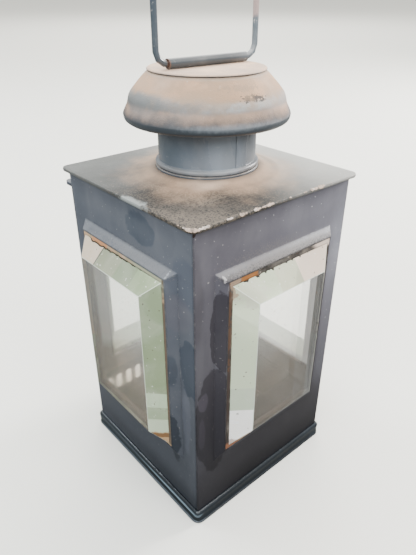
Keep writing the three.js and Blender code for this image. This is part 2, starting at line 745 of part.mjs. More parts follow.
const bailHalf = bailWidth / 2;
const bailCorner = (bailWidth - sleeveLength) / 2 - seat;
const bailPath = new THREE.Path();
bailPath.moveTo(wireGap, 0);
bailPath.lineTo(bailHalf - bailCorner, 0);
bailPath.absarc(bailHalf - bailCorner, bailCorner, bailCorner, -Math.PI / 2, 0, false);
bailPath.lineTo(bailHalf, bailHeight - bailShoulder);
bailPath.absarc(bailHalf - bailShoulder, bailHeight - bailShoulder, bailShoulder, 0, Math.PI / 2, false);
bailPath.lineTo(-bailHalf + bailShoulder, bailHeight);
bailPath.absarc(-bailHalf + bailShoulder, bailHeight - bailShoulder, bailShoulder,
  Math.PI / 2, Math.PI, false);
bailPath.lineTo(-bailHalf, bailCorner);
bailPath.absarc(-bailHalf + bailCorner, bailCorner, bailCorner, Math.PI, Math.PI * 1.5, false);
bailPath.lineTo(-wireGap, 0);
const bailCurve = new THREE.CatmullRomCurve3(
  bailPath.getSpacedPoints(bailSteps).map((p) => v3(p.x, 0, p.y)), false, 'centripetal');
const wireShape = new THREE.Shape();
wireShape.absarc(0, 0, wireRadius, 0, Math.PI * 2, false);
const bail = new THREE.ExtrudeGeometry(wireShape, {
  steps: bailSteps, bevelEnabled: false, extrudePath: bailCurve, curveSegments: 5,
});
addMesh('handle_bail', bail, darkWire, handle);

// Candle holder: a shallow dish soldered to the floor with a split socket.
const dishFloor = panFloor + seat;
addMesh('candle_dish', turned([
  [0, dishFloor], [dishRadius - 3, dishFloor], [dishRadius, dishFloor + dishRim - 1],
  [dishRadius + 0.9, dishFloor + dishRim], [dishRadius - 0.2, dishFloor + dishRim],
  [dishRadius - 3.4, dishFloor + sheet], [0, dishFloor + sheet],
], 40), innerPaint);
const socketFoot = dishFloor + sheet + seat;
const socketOuter = socketBore + socketWall;
const socketTube = turned([
  [socketBore, socketFoot + sheet], [0, socketFoot + sheet], [0, socketFoot],
  [socketOuter, socketFoot], [socketOuter, socketFoot + socketHeight - 2],
  [socketOuter + 1.6, socketFoot + socketHeight], [socketBore + 1.6, socketFoot + socketHeight],
  [socketBore, socketFoot + socketHeight - 2],
], 32);
const slot = new THREE.BoxGeometry(socketOuter + 4, socketSlot, socketHeight * 0.6);
slot.translate(-(socketOuter + 4) / 2, 0, socketFoot + socketHeight * 0.72);
addMesh('candle_socket', cut(socketTube, slot), innerPaint);

export default lantern;
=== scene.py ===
import math

import bmesh
import bpy
from mathutils import Matrix, Vector, noise


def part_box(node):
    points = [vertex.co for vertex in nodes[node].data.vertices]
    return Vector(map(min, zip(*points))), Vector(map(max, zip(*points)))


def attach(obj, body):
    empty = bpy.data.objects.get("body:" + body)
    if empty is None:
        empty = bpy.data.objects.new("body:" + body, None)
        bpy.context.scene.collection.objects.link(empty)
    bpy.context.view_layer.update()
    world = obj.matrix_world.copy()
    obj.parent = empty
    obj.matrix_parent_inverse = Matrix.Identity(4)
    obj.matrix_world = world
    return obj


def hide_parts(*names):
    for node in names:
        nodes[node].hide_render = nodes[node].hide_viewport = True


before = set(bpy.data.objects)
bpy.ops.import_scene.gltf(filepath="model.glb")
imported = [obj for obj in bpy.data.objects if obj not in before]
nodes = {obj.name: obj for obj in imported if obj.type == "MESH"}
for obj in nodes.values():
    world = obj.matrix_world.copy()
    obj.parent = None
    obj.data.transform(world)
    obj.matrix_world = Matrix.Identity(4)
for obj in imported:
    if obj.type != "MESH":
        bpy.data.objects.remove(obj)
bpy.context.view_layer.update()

# Base pan: pressed from one sheet, with a rolled bead along its top and a foot
# lip all round. It sits lowest and keeps most of its blue-black stove enamel.


def new_group(name, inputs, outputs):
    group = bpy.data.node_groups.new(name, "ShaderNodeTree")
    for label, kind, start in inputs:
        socket = group.interface.new_socket(label, in_out="INPUT", socket_type="NodeSocket" + kind)
        socket.default_value = start
    for label, kind in outputs:
        group.interface.new_socket(label, in_out="OUTPUT", socket_type="NodeSocket" + kind)
    return group, group.nodes.new("NodeGroupInput"), group.nodes.new("NodeGroupOutput")


class Wiring:
    """Short ways to place and join the nodes of one tree."""

    def __init__(self, tree):
        self.tree = tree

    def put(self, socket, value):
        if isinstance(value, bpy.types.NodeSocket):
            self.tree.links.new(value, socket)
        else:
            socket.default_value = value

    def math(self, operation, a, b=0.0, clamp=False):
        node = self.tree.nodes.new("ShaderNodeMath")
        node.operation = operation
        node.use_clamp = clamp
        self.put(node.inputs[0], a)
        self.put(node.inputs[1], b)
        return node.outputs[0]

    def ramp(self, value, low, high, to_low=0.0, to_high=1.0):
        node = self.tree.nodes.new("ShaderNodeMapRange")
        node.interpolation_type = "SMOOTHSTEP"
        for socket, amount in zip(node.inputs[:5], (value, low, high, to_low, to_high)):
            self.put(socket, amount)
        return node.outputs[0]

    def mix(self, share, a, b, blend="MIX"):
        node = self.tree.nodes.new("ShaderNodeMix")
        node.data_type = "RGBA"
        node.blend_type = blend
        self.put(node.inputs[0], share)
        self.put(node.inputs[6], a)
        self.put(node.inputs[7], b)
        return node.outputs[2]

    def noise(self, place, scale, detail=4.0, rough=0.55, warp=0.0):
        node = self.tree.nodes.new("ShaderNodeTexNoise")
        self.put(node.inputs["Vector"], place)
        self.put(node.inputs["Scale"], scale)
        self.put(node.inputs["Detail"], detail)
        self.put(node.inputs["Roughness"], rough)
        self.put(node.inputs["Distortion"], warp)
        return node.outputs["Fac"]

    def shifted(self, place, move=(0, 0, 0), stretch=(1, 1, 1)):
        node = self.tree.nodes.new("ShaderNodeMapping")
        self.put(node.inputs["Vector"], place)
        node.inputs["Location"].default_value = move
        node.inputs["Scale"].default_value = stretch
        return node.outputs[0]

    def along(self, vector):
        node = self.tree.nodes.new("ShaderNodeSeparateXYZ")
        self.put(node.inputs[0], vector)
        return node.outputs

    def patch(self, place, middle, size, ragged, fade, grain):
        """An egg-shaped area, 1 inside and 0 outside, whose edge is torn by noise."""
        moved = self.shifted(place, [-m / s for m, s in zip(middle, size)], [1 / s for s in size])
        far = self.tree.nodes.new("ShaderNodeVectorMath")
        far.operation = "LENGTH"
        self.put(far.inputs[0], moved)
        wave = self.math("SUBTRACT", self.noise(place, grain, 6, 0.6), 0.5)
        far = self.math("ADD", far.outputs["Value"], self.math("MULTIPLY", wave, ragged * 4))
        return self.ramp(far, 1.0 + fade, 1.0 - fade)


# Old enamel, the coat on every sheet: blotches, runs, dust on what faces up, rust
# spots, soot inside the walls, edges worn to the metal, and painted shade that
# darkens it towards the bottom.
inner_face = 0.0596
enamel, enamel_in, enamel_out = new_group(
    "old_enamel",
    [
        ("Paint", "Color", (0.1, 0.1, 0.1, 1)), ("Blotch", "Color", (0.2, 0.2, 0.2, 1)),
        ("Blotch Scale", "Float", 24.0), ("Blotch Amount", "Float", 0.5),
        ("Mark Amount", "Float", 0.0), ("Run Amount", "Float", 0.3),
        ("Dust", "Color", (0.5, 0.45, 0.4, 1)), ("Dust Amount", "Float", 0.5),
        ("Rust", "Color", (0.25, 0.1, 0.04, 1)), ("Rust Amount", "Float", 0.2),
        ("Bare", "Color", (0.6, 0.58, 0.55, 1)), ("Edge Wear", "Float", 0.3),
        ("Edge Radius", "Float", 0.0008), ("Speck Amount", "Float", 0.4),
        ("Soot Amount", "Float", 0.0), ("Low Shade", "Float", 0.0),
        ("Low Roughness", "Float", 0.35), ("High Roughness", "Float", 0.8),
    ],
    [("Color", "Color"), ("Roughness", "Float"), ("Metallic", "Float"), ("Height", "Float")],
)
w = Wiring(enamel)
given = enamel_in.outputs
coord = enamel.nodes.new("ShaderNodeTexCoord")
here = coord.outputs["Object"]
spot = w.along(here)
blotch = w.ramp(w.noise(here, given["Blotch Scale"], 6, 0.62, 0.6), 0.42, 0.62)
blotch = w.math("MULTIPLY", blotch, given["Blotch Amount"], True)
colour = w.mix(blotch, given["Paint"], given["Blotch"])
marks = w.ramp(w.noise(w.shifted(here, (0.3, 0.1, 0.2), (1, 1, 0.45)), 34, 7, 0.5, 0.5), 0.505, 0.515)
marks = w.math("MULTIPLY", marks, given["Mark Amount"], True)
colour = w.mix(marks, colour, given["Paint"])
colour = w.mix(w.math("MULTIPLY", marks, 0.35), colour, (0.01, 0.012, 0.016, 1))
runs = w.ramp(w.noise(w.shifted(here, stretch=(90, 90, 7)), 1.0, 4, 0.5, 0.3), 0.5, 0.72)
runs = w.math("MULTIPLY", runs, given["Run Amount"], True)
colour = w.mix(runs, colour, given["Dust"])
cloud = w.ramp(w.noise(here, 60, 5, 0.6), 0.3, 0.75, 0.55, 1.0)
facing = w.ramp(w.along(coord.outputs["Normal"])[2], 0.02, 0.5)
grains = w.ramp(w.noise(here, 1900, 2, 0.6), 0.35, 0.68, 0.72, 1.0)
grains = w.math("MULTIPLY", grains, given["Dust Amount"])
dust = w.math("MULTIPLY", w.math("MULTIPLY", facing, cloud), grains, True)
colour = w.mix(dust, colour, given["Dust"])
specks = w.math("MULTIPLY", w.ramp(w.noise(here, 500, 2, 0.4), 0.7, 0.74), given["Speck Amount"], True)
colour = w.mix(specks, colour, given["Bare"])
rust = w.ramp(w.noise(here, 85, 8, 0.68, 0.4), 0.6, 0.69)
rust = w.math("MULTIPLY", rust, given["Rust Amount"], True)
rust_tone = w.mix(w.noise(here, 700, 3), given["Rust"], (0.09, 0.045, 0.03, 1))
colour = w.mix(rust, colour, rust_tone)
rounded = enamel.nodes.new("ShaderNodeBevel")
rounded.samples = 4
w.put(rounded.inputs["Radius"], given["Edge Radius"])
plain = enamel.nodes.new("ShaderNodeNewGeometry")
turn = enamel.nodes.new("ShaderNodeVectorMath")
turn.operation = "DOT_PRODUCT"
w.put(turn.inputs[0], rounded.outputs[0])
w.put(turn.inputs[1], plain.outputs["Normal"])
edge = w.ramp(turn.outputs["Value"], 0.995, 0.86)
chips = w.ramp(w.noise(here, 150, 6, 0.66), 0.5, 0.6)
edge = w.math("MULTIPLY", w.math("MULTIPLY", edge, chips), given["Edge Wear"], True)
colour = w.mix(edge, colour, given["Bare"])
# Painted shade: the coat is darkened towards the bottom, as far as Low Shade sets.
painted_low_shade = w.ramp(spot[2], 0.2, 0.01, 0.0, given["Low Shade"])
colour = w.mix(painted_low_shade, colour, (0.008, 0.009, 0.012, 1))
inside = w.math("MAXIMUM", w.math("ABSOLUTE", spot[0]), w.math("ABSOLUTE", spot[1]))
inside = w.math("MULTIPLY", w.math("LESS_THAN", inside, inner_face), given["Soot Amount"])
colour = w.mix(inside, colour, w.mix(blotch, (0.022, 0.017, 0.013, 1), (0.05, 0.036, 0.026, 1)))
matt = w.math("ADD", dust, w.math("MULTIPLY", w.math("ADD", rust, blotch), 0.5), True)
w.put(enamel_out.inputs["Color"], colour)
w.put(enamel_out.inputs["Roughness"], w.ramp(matt, 0, 1, given["Low Roughness"], given["High Roughness"]))
w.put(enamel_out.inputs["Metallic"], w.math("MULTIPLY", edge, 0.35))
rise = w.math("MULTIPLY", w.noise(here, 420, 5, 0.6), 0.35)
rise = w.math("ADD", rise, w.math("MULTIPLY", w.math("SUBTRACT", rust, edge), 0.5))
w.put(enamel_out.inputs["Height"], w.math("ADD", rise, w.math("MULTIPLY", dust, w.noise(here, 1400, 2))))


def enamel_material(name, bump=0.25, gloss=0.3, soft=0.0004, **values):
    """One finish: strength of its dents, gloss, radius of its folds, and the enamel's values."""
    material = bpy.data.materials.new(name)
    material.use_nodes = True
    tree = material.node_tree
    shader = tree.nodes["Principled BSDF"]
    group = tree.nodes.new("ShaderNodeGroup")
    group.node_tree = enamel
    for label, value in values.items():
        group.inputs[label.replace("_", " ")].default_value = value
    dent = tree.nodes.new("ShaderNodeBump")
    dent.inputs["Strength"].default_value = bump
    dent.inputs["Distance"].default_value = 0.0004
    tree.links.new(group.outputs["Color"], shader.inputs["Base Color"])
    tree.links.new(group.outputs["Roughness"], shader.inputs["Roughness"])
    tree.links.new(group.outputs["Metallic"], shader.inputs["Metallic"])
    tree.links.new(group.outputs["Height"], dent.inputs["Height"])
    tree.links.new(dent.outputs[0], shader.inputs["Normal"])
    round_off = tree.nodes.new("ShaderNodeBevel")
    round_off.samples = 4
    round_off.inputs["Radius"].default_value = soft
    tree.links.new(round_off.outputs[0], dent.inputs["Normal"])
    shader.inputs["Specular IOR Level"].default_value = gloss
    return material


def mark(material, stains_and_painted_light):
    """Lay marks on a finish, one over the other: stain and dirt, painted shade and painted highlights.

    Each has its middle and reach in mm, tone, blend, share, how ragged its edge
    is, the width of its fade and the fineness of the noise that tears it.
    """
    tree = material.node_tree
    w = Wiring(tree)
    here = tree.nodes.new("ShaderNodeTexCoord").outputs["Object"]
    base = tree.nodes["Principled BSDF"].inputs["Base Color"]
    colour = base.links[0].from_socket
    for middle, size, tone, blend, share, ragged, fade, grain in stains_and_painted_light:
        middle = [m / 1000 for m in middle]
        size = [s / 1000 for s in size]
        mask = w.math("MULTIPLY", w.patch(here, middle, size, ragged, fade, grain), share)
        colour = w.mix(mask, colour, (*tone, 1), blend)
    w.put(base, colour)


# Packed sheet is loose flat triangles, so each node is welded and shaded
# smooth up to a fold, by a modifier that leaves its mesh alone.
weld_distance = 0.00001
fold_angle = math.radians(28)
smooth_sheet = bpy.data.node_groups.new("smooth_sheet", "GeometryNodeTree")
smooth_sheet.interface.new_socket("Geometry", in_out="INPUT", socket_type="NodeSocketGeometry")
smooth_sheet.interface.new_socket("Geometry", in_out="OUTPUT", socket_type="NodeSocketGeometry")
s = smooth_sheet.nodes
sheet = s.new("NodeGroupInput").outputs[0]
forget = s.new("GeometryNodeRemoveAttribute")
forget.inputs["Name"].default_value = "custom_normal"
weld = s.new("GeometryNodeMergeByDistance")
weld.inputs["Distance"].default_value = weld_distance
soft = s.new("GeometryNodeSetShadeSmooth")
sharp = s.new("GeometryNodeSetShadeSmooth")
sharp.domain = "EDGE"
sharp.inputs["Shade Smooth"].default_value = False
angle = s.new("GeometryNodeInputMeshEdgeAngle")
folded = s.new("FunctionNodeCompare")
folded.operation = "GREATER_THAN"
folded.inputs[1].default_value = fold_angle
smooth_sheet.links.new(angle.outputs["Unsigned Angle"], folded.inputs[0])
smooth_sheet.links.new(folded.outputs[0], sharp.inputs["Selection"])
for step in (forget, weld, soft, sharp):
    smooth_sheet.links.new(sheet, step.inputs[0])
    sheet = step.outputs[0]
smooth_sheet.links.new(sheet, s.new("NodeGroupOutput").inputs[0])


def finish_node(name, material):
    node = nodes[name]
    for place in node.material_slots:
        place.material = material
    node.modifiers.new("smooth_sheet", "NODES").node_group = smooth_sheet
    return node


pan_enamel_and_highlights = enamel_material(
    "pan_enamel_and_highlights", 0.2, 0.5, 0.0006, Paint=(0.006, 0.009, 0.012, 1), Blotch=(0.012, 0.018, 0.024, 1),
    Blotch_Amount=0.6, Dust=(0.08, 0.085, 0.09, 1), Dust_Amount=0.1, Rust_Amount=0.03, Edge_Wear=0.1,
    Bare=(0.1, 0.13, 0.16, 1), Low_Roughness=0.2, High_Roughness=0.42, Run_Amount=0.0,
    Speck_Amount=0.2, Soot_Amount=1.0,
)
mark(pan_enamel_and_highlights, [
    # Painted highlights: the first two along the bead on the left side, the third along the foot lip
    # there, the fourth faint along the bead on the front.
    ((-64, 0, 6.4), (6, 90, 1.2), (0.1, 0.13, 0.15), "MIX", 0.45, 0.12, 0.7, 60),
    ((-64, -42, 6.4), (6, 34, 1.1), (0.26, 0.35, 0.42), "MIX", 0.8, 0.2, 0.7, 130),
    ((-64, -10, 1.0), (8, 70, 0.7), (0.12, 0.14, 0.16), "MIX", 0.5, 0.2, 0.5, 80),
    ((0, -64, 6.4), (80, 6, 1.0), (0.03, 0.033, 0.036), "MIX", 0.5, 0.2, 0.5, 60),
])
finish_node("base_pan", pan_enamel_and_highlights)

# Walls: four folded sheets, soldered at the corners. Each window is pressed out
# into a mitred border with a hemmed lip. Slate enamel, stained and dusty, with
# painted shade low down and where they meet the pan, and some painted light.
bend = 0.0018
wall_paint = dict(
    Blotch_Scale=15.0, Blotch_Amount=0.55, Run_Amount=0.05, Dust=(0.3, 0.3, 0.3, 1),
    Dust_Amount=0.5, Rust_Amount=0.05, Bare=(0.5, 0.48, 0.47, 1), Edge_Wear=0.45, Low_Roughness=0.38,
    High_Roughness=0.62, Soot_Amount=1.0, Speck_Amount=0.5,
)
left_enamel = enamel_material(
    "left_enamel", soft=bend, Paint=(0.096, 0.106, 0.127, 1), Blotch=(0.138, 0.146, 0.168, 1),
    Low_Shade=0.52, Mark_Amount=0.12, **wall_paint)
mark(left_enamel, [
    ((-60, -14, 196), (9, 13.5, 9.5), (0.62, 0.68, 0.74), "MULTIPLY", 0.9, 0.24, 0.08, 90),
    ((-60, 6, 196), (9, 40, 5), (1.18, 1.16, 1.12), "MULTIPLY", 0.8, 0.5, 0.6, 60),
    ((-60, -12, 206), (9, 10, 6), (0.62, 0.68, 0.74), "MULTIPLY", 0.5, 0.1, 0.3, 40),
    ((-60, -54, 178), (9, 12, 15), (0.7, 0.75, 0.82), "MULTIPLY", 0.7, 0.2, 0.2, 60),
    ((-60, -47, 158), (9, 12, 11), (1.25, 1.12, 1.1), "MULTIPLY", 0.6, 0.25, 0.2, 60),
    ((-60, -56, 124), (9, 10, 19), (0.56, 0.63, 0.7), "MULTIPLY", 0.9, 0.3, 0.03, 100),
    ((-60, -42.5, 118), (9, 3, 12), (0.6, 0.65, 0.7), "MULTIPLY", 0.8, 0.2, 0.15, 60),
    ((-60, -40, 64), (9, 5.5, 26), (0.4, 0.44, 0.48), "MULTIPLY", 0.95, 0.3, 0.04, 110),
    ((-60, -51, 84), (9, 4, 24), (1.35, 1.32, 1.35), "MULTIPLY", 0.8, 0.3, 0.15, 90),
    ((-60, 50, 150), (9, 8, 70), (0.7, 0.74, 0.78), "MULTIPLY", 0.6, 0.2, 0.4, 40),
    # Painted shade where the wall meets the pan.
    ((-60, -10, 9.6), (9, 90, 13), (0.3, 0.32, 0.35), "MULTIPLY", 0.8, 0.05, 0.8, 40),
    ((-62, 0, 180.4), (3, 52, 3), (0.62, 0.63, 0.65), "MULTIPLY", 0.85, 0.4, 0.5, 200),
    ((-64.4, 0, 180), (2, 52, 4), (0.74, 0.75, 0.76), "MULTIPLY", 0.9, 0.12, 0.5, 60),
    ((-63.5, -14, 182), (3.2, 34, 5), (0.15, 0.15, 0.155), "MIX", 0.6, 0.9, 0.3, 1100),
    # Painted highlight at the mitre of the window's top border.
    ((-63.6, -41.5, 181), (2.4, 0.7, 2.6), (0.36, 0.37, 0.39), "MIX", 0.6, 0.8, 0.2, 600),
    ((-60, -60, 208.4), (1.6, 1.6, 2), (0.03, 0.015, 0.01), "MIX", 0.9, 0.5, 0.1, 300),
])
front_enamel = enamel_material(
    "front_enamel", soft=bend, Paint=(0.098, 0.093, 0.11, 1), Blotch=(0.138, 0.132, 0.15, 1),
    Low_Shade=0.75, Mark_Amount=0.12, **wall_paint)
mark(front_enamel, [
    ((-39, -60, 146), (10.4, 9, 31), (0.4, 0.385, 0.4), "MULTIPLY", 0.9, 0.12, 0.02, 110),
    ((-46, -60, 82), (15.5, 9, 41), (0.42, 0.4, 0.42), "MULTIPLY", 0.9, 0.13, 0.02, 90),
    ((4, -60, 197), (44, 9, 5), (1.15, 1.15, 1.13), "MULTIPLY", 0.8, 0.5, 0.6, 60),
    ((-59, -60, 172), (5, 9, 26), (0.72, 0.7, 0.7), "MULTIPLY", 0.7, 0.2, 0.3, 60),
    ((-54.5, -60, 101), (3.4, 9, 6), (1.9, 1.85, 1.9), "MULTIPLY", 0.8, 0.4, 0.05, 110),
    ((-56, -60, 76), (2.4, 9, 13), (1.5, 1.45, 1.5), "MULTIPLY", 0.8, 0.3, 0.1, 90),
    # Painted shade: darkens the lower part of the front wall.
    ((20, -60, 30), (90, 12, 26), (0.55, 0.52, 0.5), "MULTIPLY", 0.8, 0.1, 0.4, 30),
    # Painted light: this mark and the next brighten the right end of the front wall.
    ((66, -60, 190), (62, 12, 46), (1.5, 1.55, 1.55), "MULTIPLY", 0.9, 0.1, 0.7, 30),
    ((60, -60, 120), (14, 12, 70), (1.9, 1.95, 1.9), "MULTIPLY", 0.9, 0.1, 0.5, 40),
    # Painted shade where the wall meets the pan.
    ((0, -60, 9.6), (90, 9, 14), (0.4, 0.4, 0.4), "MULTIPLY", 0.8, 0.05, 0.8, 40),
    ((4, -64.6, 178.8), (52, 2.8, 2.6), (0.36, 0.34, 0.32), "MULTIPLY", 0.95, 0.35, 0.7, 300),
    ((0, -64.4, 180), (52, 2, 4), (0.5, 0.48, 0.48), "MULTIPLY", 0.9, 0.12, 0.5, 60),
    ((-2, -63.5, 183), (46, 3.4, 6), (0.17, 0.155, 0.148), "MIX", 0.65, 0.9, 0.3, 1100),
    # Painted highlight at the mitre of the window's top border.
    ((-42.8, -63.8, 180.4), (0.8, 2, 2.6), (0.5, 0.47, 0.47), "MIX", 0.7, 0.9, 0.15, 600),
    ((-60, -60, 208.4), (1.6, 1.6, 2), (0.03, 0.015, 0.01), "MIX", 0.9, 0.5, 0.1, 300),
])
back_enamel = enamel_material(
    "back_enamel", soft=bend, Paint=(0.07, 0.082, 0.104, 1), Blotch=(0.12, 0.126, 0.146, 1),
    Low_Shade=0.7, Mark_Amount=0.45, **wall_paint)
finish_node("wall_left", left_enamel)
finish_node("wall_front", front_enamel)
for name in (
    "wall_right", "door_surround", "door_panel", "rain_ledge", "hinge_leaf_lower", "hinge_leaf_upper",
):
    finish_node(name, back_enamel)

# Panes: thick plate glass, bevelled wide on all four sides. The bevels are painted
# pale green, partly the glass's own tint and partly painted light for what is seen
# through them.
pane_edge = 0.0032
arris_width = 0.00022


def plate_material(name, clear, grit, share, bands, glare=None):
    """Plate glass: tone, least and most roughness, share that lets light through, painted bands and
    glare.

    A band has its axis, start and end in mm, and tone; bands are painted light and
    shade. Glare has an axis and a slope, start and end upwards, start and end along
    the axis, and strength; it is painted glare that glows by emission.
    """
    material = bpy.data.materials.new(name)
    material.use_nodes = True
    tree = material.node_tree
    w = Wiring(tree)
    shader = tree.nodes["Principled BSDF"]
    shader.inputs["Transmission Weight"].default_value = share
    shader.inputs["IOR"].default_value = 1.15
    shader.inputs["Coat Weight"].default_value = 1.0
    shader.inputs["Coat Roughness"].default_value = 0.03
    here = tree.nodes.new("ShaderNodeTexCoord").outputs["Object"]
    parts = w.along(here)
    tint_and_painted_view = (*clear, 1)
    rough = w.ramp(w.noise(here, 30, 4, 0.6, 0.8), 0.4, 0.75, *grit)
    for along, start, end, tone in bands:
        tint_and_painted_view = w.mix(w.ramp(parts["xyz".index(along)], start / 1000, end / 1000), tint_and_painted_view, (*tone, 1))
    haze = w.math("MULTIPLY", w.ramp(w.noise(here, 42, 5, 0.6, 0.8), 0.4, 0.75), 0.2)
    tint_and_painted_view = w.mix(haze, tint_and_painted_view, (0.8, 0.78, 0.73, 1))
    light_specks = w.ramp(w.noise(here, 640, 1, 0.4), 0.73, 0.76, 0.0, 0.7)
    dark_specks = w.ramp(w.noise(w.shifted(here, (3, 1, 2)), 520, 1, 0.4), 0.755, 0.77, 0.0, 0.8)
    tint_and_painted_view = w.mix(light_specks, tint_and_painted_view, (0.85, 0.83, 0.79, 1))
    w.put(shader.inputs["Base Color"], w.mix(dark_specks, tint_and_painted_view, (0.12, 0.1, 0.08, 1)))
    w.put(shader.inputs["Roughness"], w.math("ADD", rough, w.ramp(parts[2], 0.11, 0.07, 0.0, 0.12)))
    # Painted glare: the glass glows by emission over this area, though no lamp is there.
    if glare:
        along, slope, start, end, left, right, power = glare
        lit = w.math("ADD", parts[2], w.math("MULTIPLY", parts["xyz".index(along)], slope))
        lit = w.ramp(lit, start / 1000, end / 1000)
        lit = w.math("MULTIPLY", lit, w.ramp(parts["xyz".index(along)], left / 1000, right / 1000))
        w.put(shader.inputs["Emission Color"], w.mix(lit, (0, 0, 0, 1), (1, 1, 0.97, 1)))
        shader.inputs["Emission Strength"].default_value = power
    return material


# Painted light and shade in the fields: darker and browner low down for the dark inside seen through,
# greyer at the right of the front field; the left and front fields glow over an upper area as painted
# glare.
fields = {
    "left": plate_material("field_left", (0.9, 0.92, 0.89), (0.03, 0.1), 0.9,
                           [("z", 140, 92, (0.72, 0.62, 0.51))], ("y", 0.56, 113, 124, 19, 14, 0.11)),
    "front": plate_material("field_front", (0.97, 0.97, 0.95), (0.02, 0.07), 0.93,
                            [("z", 130, 108, (0.62, 0.56, 0.49)), ("x", 20, 21, (0.86, 0.88, 0.88))],
                            ("x", 0.96, 115.5, 118.5, 20.6, 20.2, 0.3)),
    "right": plate_material("field_back", (0.95, 0.96, 0.94), (0.02, 0.07), 0.93, []),
}
# Painted light in the bevels: their pale greens and the stripes of sage, beige and dark stand for what is
# seen through and off them; the front bevels also glow below 88 mm as painted glare.
facets = {
    "left": plate_material("bevel_left", (0.27, 0.345, 0.2), (0.08, 0.25), 0.2, [
        ("y", -19.3, -19, (0.22, 0.275, 0.165)), ("y", -4, -3.6, (0.27, 0.295, 0.195)),
        ("y", 15.9, 16, (0.05, 0.06, 0.04)), ("y", 16.8, 16.9, (0.66, 0.54, 0.4)),
        ("z", 99.5, 99, (0.5, 0.63, 0.42)),
        ("z", 88.5, 88, (0.34, 0.42, 0.27)), ("z", 79, 78, (0.6, 0.69, 0.5))]),
    "front": plate_material("bevel_front", (0.66, 0.75, 0.53), (0.08, 0.25), 0.2, [
        ("z", 158, 168, (0.44, 0.5, 0.35)), ("x", -9, -8.7, (0.46, 0.47, 0.34)),
        ("x", 8.8, 9.1, (0.76, 0.62, 0.5)),
        ("z", 105.5, 105, (0.58, 0.66, 0.5)), ("z", 88.5, 88, (0.92, 0.9, 0.86))],
        ("z", 0, 88.6, 88, 300, 200, 0.3)),
}
facets["right"] = plate_material("bevel_back", (0.5, 0.58, 0.42), (0.08, 0.25), 0.3, [])
fields["door"], facets["door"] = fields["right"], facets["right"]
mark(facets["left"], [
    ((-68, -34, 62), (9, 13, 6.5), (0.5, 0.28, 0.13), "MIX", 0.9, 0.4, 0.15, 110),
    ((-68, -32, 65.5), (9, 10, 2), (0.16, 0.07, 0.025), "MIX", 0.8, 0.6, 0.15, 190),
    ((-66, -41.6, 120), (3, 1, 60), (0.22, 0.27, 0.17), "MIX", 0.7, 0.1, 0.5, 60),
])
mark(facets["front"], [
    ((-37, -68, 61), (9, 9, 4), (0.2, 0.1, 0.06), "MIX", 0.85, 0.5, 0.2, 160),
    ((-40, -67, 170), (3, 4, 5), (0.25, 0.14, 0.09), "MIX", 0.8, 0.9, 0.1, 320),
    ((-28, -70, 168), (9, 9, 8), (0.5, 0.46, 0.4), "MIX", 0.4, 0.9, 0.1, 300),
])
# Painted highlight: the arrises and the mitres of the bevels get a pale tone for the light they catch.
arris_highlight = plate_material("glass_arris_highlight", (0.74, 0.79, 0.69), (0.1, 0.3), 0.2, [])


def make_object(name, shape, *materials):
    mesh = bpy.data.meshes.new(name)
    shape.to_mesh(mesh)
    shape.free()
    for material in materials:
        mesh.materials.append(material)
    thing = bpy.data.objects.new(name, mesh)
    bpy.context.scene.collection.objects.link(thing)
    return thing


def make_pane(side, turn, bevel, body):
    low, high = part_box("glass_" + side)
    across, depth = (0, 1) if side in ("front", "door") else (1, 0)
    half = (high[across] - low[across]) / 2
    thick = high[depth] - low[depth]
    back = min(abs(low[depth]), abs(high[depth]))
    pane = bmesh.new()
    bmesh.ops.create_grid(pane, x_segments=1, y_segments=1, size=1.0)
    bmesh.ops.scale(pane, vec=(half, (high.z - low.z) / 2, 1), verts=pane.verts)
    outline = pane.faces[:]
    for rise, shrink in ((pane_edge, 0), (thick - pane_edge, bevel)):
        lifted = bmesh.ops.extrude_face_region(pane, geom=outline)["geom"]
        if shrink:
            bmesh.ops.delete(pane, geom=outline, context="FACES_ONLY")
        outline = [part for part in lifted if isinstance(part, bmesh.types.BMFace)]
        corners = [part for part in lifted if isinstance(part, bmesh.types.BMVert)]
        wide = max(c.co.x for c in corners)
        tall = max(c.co.y for c in corners)
        bmesh.ops.scale(pane, vec=(1 - shrink / wide, 1 - shrink / tall, 1), verts=corners)
        bmesh.ops.translate(pane, vec=(0, 0, rise), verts=corners)
    bmesh.ops.recalc_face_normals(pane, faces=pane.faces)
    for surface in pane.faces:
        surface.material_index = 0 if abs(surface.normal.z) > 0.99 else 1
    ridges = [e for e in pane.edges if max(v.co.z for v in e.verts) > pane_edge + 0.0001]
    bmesh.ops.bevel(pane, geom=ridges, offset=arris_width, offset_type="OFFSET", segments=2,
                    profile=0.5, affect="EDGES", material=2)
    place = (Matrix.Rotation(turn, 4, "Z") @ Matrix.Translation((0, -back, (low.z + high.z) / 2))
             @ Matrix.Rotation(math.pi / 2, 4, "X"))
    bmesh.ops.transform(pane, matrix=place, verts=pane.verts)
    thing = make_object("pane_" + side, pane, fields[side], facets[side], arris_highlight)
    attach(thing, body)
    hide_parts("glass_" + side)


for side, turn, bevel, body in (
    ("left", -math.pi / 2, 0.0119, "lantern"), ("front", 0.0, 0.0151, "lantern"),
    ("right", math.pi / 2, 0.0137, "lantern"), ("door", math.pi, 0.0137, "door"),
):
    make_pane(side, turn, bevel, body)

